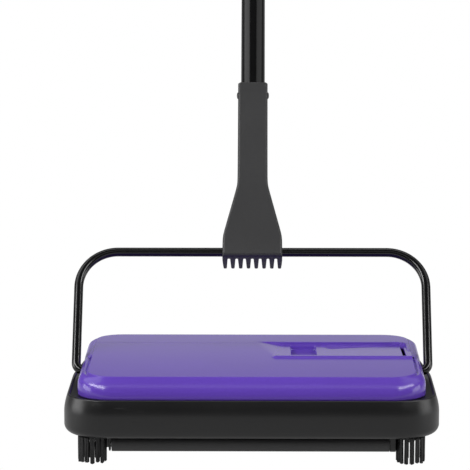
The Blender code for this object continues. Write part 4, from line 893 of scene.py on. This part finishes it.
# ---- Corner brushes
# A small disc turns freely on a headed pin at each corner. Fifteen flat tufts of black nylon are fixed round
# its edge at the top and hang down. The filaments spread a little to their tips, which are cut unevenly.
CORNER_DISC = (9.0, 18.6, 20.7)
PIN_HOLE = 2.0
TUFTS = 15
TUFT_RING = 9.9
TUFT_WIDE = 1.75
TUFT_THICK = 0.75
STRANDS = 46
TUFT_TOP = 20.4
TIP_HEIGHT = 0.5
rng = np.random.default_rng(7)


def strands(roots, tips, radius, sides=5, segments=4, bow=0.0):
    """Thin tapered tubes from roots to tips, all at once: circles about points at shares s between them. The
    points bow sideways by 4 s (1 - s), at random, and the circles shrink in a straight line."""
    count = len(roots)
    share = np.linspace(0, 1, segments + 1)[None, :, None]
    turn = np.linspace(0, 2 * math.pi, sides, endpoint=False)
    way = tips - roots
    way = way / np.linalg.norm(way, axis=1)[:, None]
    first = np.cross(way, (0.31, 0.87, 0.38))
    first = first / np.linalg.norm(first, axis=1)[:, None]
    second = np.cross(way, first)
    middle_line = roots[:, None] * (1 - share) + tips[:, None] * share
    sideways_bow = first[:, None] * (4 * share * (1 - share))
    middle_line = middle_line + bow * sideways_bow * rng.uniform(-1, 1, (count, 1, 1))
    size = radius * (1 - 0.35 * share)[..., None]
    cosine, sine = np.cos(turn)[None, None, :, None], np.sin(turn)[None, None, :, None]
    circle = cosine * first[:, None, None] + sine * second[:, None, None]
    loops = middle_line[:, :, None] + size * circle
    flat = loops.reshape(-1, 3)
    each = (segments + 1) * sides
    start = (np.arange(count) * each)[:, None, None]
    quads = (start + grid_faces(segments + 1, sides, True)[None]).reshape(-1, 4)
    last = segments * sides
    caps = np.arange(1, sides - 1)
    root_caps = np.stack([np.zeros_like(caps), caps + 1, caps], 1)
    tip_caps = np.stack([np.full_like(caps, last), last + caps, last + caps + 1], 1)
    threes = (start + np.vstack([root_caps, tip_caps])[None]).reshape(-1, 3)
    return flat, quads, threes


NYLON = (0.020, 0.020, 0.021)
bristle = finish("black_bristle", NYLON, 0.40, tone=0.5, scale=260.0, depth=0.00001, worn=0.0, dusty=0.04)
for end, facing in ENDS.items():
    for side, sign in SIDES.items():
        at = np.array([sign * POST_AT[0], facing * POST_AT[1], 0.0])
        radius, low, high = CORNER_DISC
        profile = [(PIN_HOLE, low), (radius - 0.8, low), (radius, low + 0.6)]
        profile += [(radius, high - 0.4), (radius - 0.4, high), (PIN_HOLE, high)]
        disc = shell(lathe(profile, 40) + at, along=True)
        put(f"brush_disc_{end}_{side}", [disc], f"corner_{end}_{side}", black_satin,
            [f"corner_brush_{end}_{side}"])
        around = np.repeat((np.arange(TUFTS) + 0.35) * 2 * math.pi / TUFTS, STRANDS)
        spread = np.sqrt(rng.uniform(0, 1, TUFTS * STRANDS))
        swing = rng.uniform(0, 2 * math.pi, TUFTS * STRANDS)
        wide = TUFT_WIDE * spread * np.cos(swing)
        thick = TUFT_THICK * spread * np.sin(swing)
        out = np.stack([np.cos(around), np.sin(around), np.zeros(len(around))], 1)
        side_way = np.stack([-np.sin(around), np.cos(around), np.zeros(len(around))], 1)
        stem = at + out * (TUFT_RING + thick)[:, None]
        roots = stem + side_way * (wide * 0.92)[:, None]
        roots[:, 2] = TUFT_TOP
        tips = stem + side_way * (wide * 1.02)[:, None] + rng.normal(0, 0.06, roots.shape)
        ragged = np.repeat(rng.uniform(0, 1.3, TUFTS), STRANDS) + rng.uniform(0, 0.5, len(tips))
        ragged = ragged + 0.25 * wide**2
        tips[:, 2] = TIP_HEIGHT + ragged
        put(f"brush_tufts_{end}_{side}", [strands(roots, tips, 0.25, bow=0.08)], f"corner_{end}_{side}",
            bristle, [f"corner_brush_{end}_{side}"])

# ---- Roller brush
# Six rows of black nylon tufts, set in holes along the core, wind round it by 75 degrees from end to end.
# A ribbed drum of grey rubber is pushed on at each end, where the wheels press on it and turn the brush.
BRUSH_Z = (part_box("brush_spindle")[0].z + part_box("brush_spindle")[1].z) * 500
BRUSH_TIP = 28.2
BRUSH_CORE = 7.0
BRUSH_HALF = 95.0
TWIST = math.radians(75)
ROWS = 6
TUFTS_PER_ROW = 62
STRANDS_PER_TUFT = 11
across = np.linspace(-BRUSH_HALF + 2, BRUSH_HALF - 2, TUFTS_PER_ROW)
tuft_x = np.tile(across, ROWS)
row_turn = np.repeat(np.arange(ROWS) * 2 * math.pi / ROWS, TUFTS_PER_ROW)
tuft_turn = row_turn + TWIST * (tuft_x / BRUSH_HALF + 1) / 2
tuft_x = np.repeat(tuft_x, STRANDS_PER_TUFT)
tuft_turn = np.repeat(tuft_turn, STRANDS_PER_TUFT)
root_turn = tuft_turn + rng.uniform(-0.10, 0.10, len(tuft_x))
tip_turn = tuft_turn + rng.uniform(-0.13, 0.13, len(tuft_x))
root_x = tuft_x + rng.uniform(-0.9, 0.9, len(tuft_x))
tip_x = np.clip(tuft_x + rng.uniform(-1.6, 1.6, len(tuft_x)), -BRUSH_HALF, BRUSH_HALF)
tip_reach = BRUSH_TIP - rng.uniform(0, 0.8, len(tuft_x))
axis_at = np.array([0, 0, BRUSH_Z])
root_reach = BRUSH_CORE - 0.2
roots = np.stack([root_x, root_reach * np.cos(root_turn), root_reach * np.sin(root_turn)], 1) + axis_at
tips = np.stack([tip_x, tip_reach * np.cos(tip_turn), tip_reach * np.sin(tip_turn)], 1) + axis_at
put("roller_bristles", [strands(roots, tips, 0.2, sides=4, segments=2)], "brush", bristle,
    ["brush_bristles"])
rubber = finish("grey_rubber", (0.040, 0.040, 0.041), 0.78, scale=1500.0, depth=0.00008, worn=0.0, dusty=0.12)
RIBS = 24
RIB_DEPTH = 0.25
for side, sign in SIDES.items():
    turn = np.linspace(0, 2 * math.pi, 72, endpoint=False)
    ribs = RIB_DEPTH * (np.cos(turn * RIBS) > 0)
    profile = [(2.4, 100.6), (11.2, 100.6), (11.6, 101.0), (11.6, 110.0), (11.2, 110.4), (2.4, 110.4)]
    profile = np.array(profile)
    drum = lathe(profile, 72, "X")
    outer = (profile[:, 0] > 11)[:, None] * ribs
    drum[..., 1] = drum[..., 1] - outer * np.cos(turn)
    drum[..., 2] = drum[..., 2] - outer * np.sin(turn)
    drum = shell(drum * (sign, 1, 1) + axis_at, along=True)
    put(f"drive_drum_{side}", [drum], "brush", rubber, [f"brush_drum_{side}"], crease=30)

# ---- Wheels
# Four hubs moulded in grey plastic, each with six spokes, and each pressed into a tyre of grey rubber with a
# groove round its tread. They run on steel axles and drive the roller brush by rubbing on its drums.
WHEEL = 18.0
WHEEL_AT = (105.5, 28.0)
HALF_TREAD = np.array([(15.3, 4.5), (17.2, 4.5), (17.7, 4.2), (18.0, 3.4), (18.0, 1.0), (17.6, 0.7)])
TREAD = np.vstack([HALF_TREAD * (1, -1), HALF_TREAD[::-1]])
RIM_RING = [(12.6, -4.1), (15.0, -4.1), (15.0, 4.1), (12.6, 4.1)]
BOSS_RING = [(2.0, -4.1), (4.5, -4.1), (4.5, 4.1), (2.0, 4.1)]
SPOKES = 6
GREY = (0.17, 0.17, 0.18)
grey_plastic = finish("grey_plastic", GREY, 0.42, tone=0.85, scale=1200.0, depth=0.00003, worn=0.2,
                      dusty=0.08)
for end, facing in ENDS.items():
    for side, sign in SIDES.items():
        at = np.array([sign * WHEEL_AT[0], facing * WHEEL_AT[1], WHEEL])
        put(f"tread_{end}_{side}", [shell(lathe(TREAD, 72, "X") + at, along=True)], f"wheel_{end}_{side}",
            rubber, [f"tyre_{end}_{side}"])
        shells = [shell(lathe(RIM_RING, 56, "X") + at, along=True)]
        shells.append(shell(lathe(BOSS_RING, 32, "X") + at, along=True))
        for spoke in range(SPOKES):
            flat, quads, threes = slab((-1.4, -1.1, 4.2), (1.4, 1.1, 13.0), 0.4)
            angle = spoke * 2 * math.pi / SPOKES
            y = flat[:, 1] * math.cos(angle) - flat[:, 2] * math.sin(angle)
            z = flat[:, 1] * math.sin(angle) + flat[:, 2] * math.cos(angle)
            shells.append((np.stack([flat[:, 0], y, z], 1) + at, quads, threes))
        put(f"spoked_hub_{end}_{side}", shells, f"wheel_{end}_{side}", grey_plastic,
            [f"wheel_hub_{end}_{side}"])

# ---- Dust pans
# Two identical trays of black plastic that swing down about a hinge barrel along the head's front and rear
# edges. A coil spring in the barrel's left end holds each one up.
PAN_HALF = 94.5
PAN_WALL = 1.6
BARREL_RADIUS = 5.5
BARREL_POWER = 2 / 2.7
TRAY_LINE = [(-1.2, 22.0), (-1.4, 10.0), (-1.5, -2.0), (-0.8, -4.0), (1.2, -4.5), (20.0, -4.5), (40.0, -4.5),
             (42.0, -4.0), (46.4, -0.2)]
CHEEK = [(-1.4, 22.0), (-1.4, -4.3), (40.0, -4.3), (46.2, 0.0), (45.2, 3.0), (30.0, 22.0)]
FLOOR_RIB = [(6, -2.9), (40, -2.9), (38, -1.6), (8, -1.6)]


def band(path, thickness):
    """An outline: an open line of (y, z) points, and the same line moved by a thickness along its normals."""
    path = np.asarray(path, float)
    way = np.gradient(path, axis=0)
    way /= np.linalg.norm(way, axis=1)[:, None]
    normal = np.stack([-way[:, 1], way[:, 0]], 1)
    return np.vstack([path, (path + normal * thickness)[::-1]])


def prism(outline_yz, low_x, high_x, ease=0.3):
    """An outline in the YZ plane carried along X, and drawn in by 1.5 per cent at both ends."""
    outline_yz = np.asarray(outline_yz, float)
    middle_of = outline_yz.mean(0)
    rows = []
    for x, share in ((low_x, 0.985), (low_x + ease, 1.0), (high_x - ease, 1.0), (high_x, 0.985)):
        ring_yz = middle_of + (outline_yz - middle_of) * share
        rows.append(np.column_stack([np.full(len(ring_yz), x), ring_yz]))
    return np.array(rows)


# The barrel's section is a squarish round, cos t and sin t to a power below one, and its left end is slanted.
for end, facing in ENDS.items():
    turn = np.linspace(0, 2 * math.pi, 40, endpoint=False)
    ring_y = BARREL_RADIUS * np.sign(np.cos(turn)) * np.abs(np.cos(turn)) ** BARREL_POWER
    ring_z = BARREL_RADIUS * np.sign(np.sin(turn)) * np.abs(np.sin(turn)) ** BARREL_POWER
    barrel = prism(np.stack([ring_y, ring_z], 1), *BARREL, ease=0.5)
    barrel[:2, :, 0] += 0.05 * (BARREL_RADIUS - barrel[:2, :, 2])
    shells = [shell(barrel), strip_ended(prism(band(TRAY_LINE, PAN_WALL), -PAN_HALF, PAN_HALF))]
    for sign in (-1, 1):
        low_x = min(sign * PAN_HALF, sign * (PAN_HALF - PAN_WALL))
        shells.append(shell(prism(CHEEK, low_x, low_x + PAN_WALL)))
    for x in (-62, -31, 0, 31, 62):
        shells.append(shell(prism(FLOOR_RIB, x - 0.6, x + 0.6)))
    placed = []
    for flat, quads, threes in shells:
        flat = flat * (-facing, -facing, 1) + (0, facing * HINGE_Y, HINGE_Z)
        placed.append((flat, quads, threes))
    put(f"{end}_pan_tray", placed, f"{end}_pan", black_satin, [f"{end}_pan"], crease=30)

# ---- Small metal and plastic parts
# The screws, axles, spindle and pins of bright steel, the coil and strip springs, and the plastic bushes,
# bearings, end plates and brush core. They are bought or moulded, and keep their solids as modelled.
BRIGHT = (0.56, 0.56, 0.57)
SPRING = (0.36, 0.36, 0.38)
bright_steel = finish("bright_steel", BRIGHT, 0.28, 1.0, scale=1800.0, depth=0.00002, worn=0.15, dusty=0.05)
spring_steel = finish("spring_steel", SPRING, 0.32, 1.0, scale=900.0, depth=0.00001, worn=0.1, dusty=0.03)
FINISHES = {"bright_steel": bright_steel, "spring_steel": spring_steel, "grey_plastic": grey_plastic,
            "black_satin": black_satin, "black_plastic": black_plastic, "black_paint": black_paint,
            "grey_rubber": rubber, "black_bristle": bristle, "purple_gloss": purple}
SLOT_OF = {part["node"]: part["material_slot"] for part in frame["record"]["subparts"]}
for name, solid in frame["nodes"].items():
    if not solid.hide_render:
        solid.data.materials.clear()
        solid.data.materials.append(FINISHES[SLOT_OF[name]])

low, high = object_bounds()
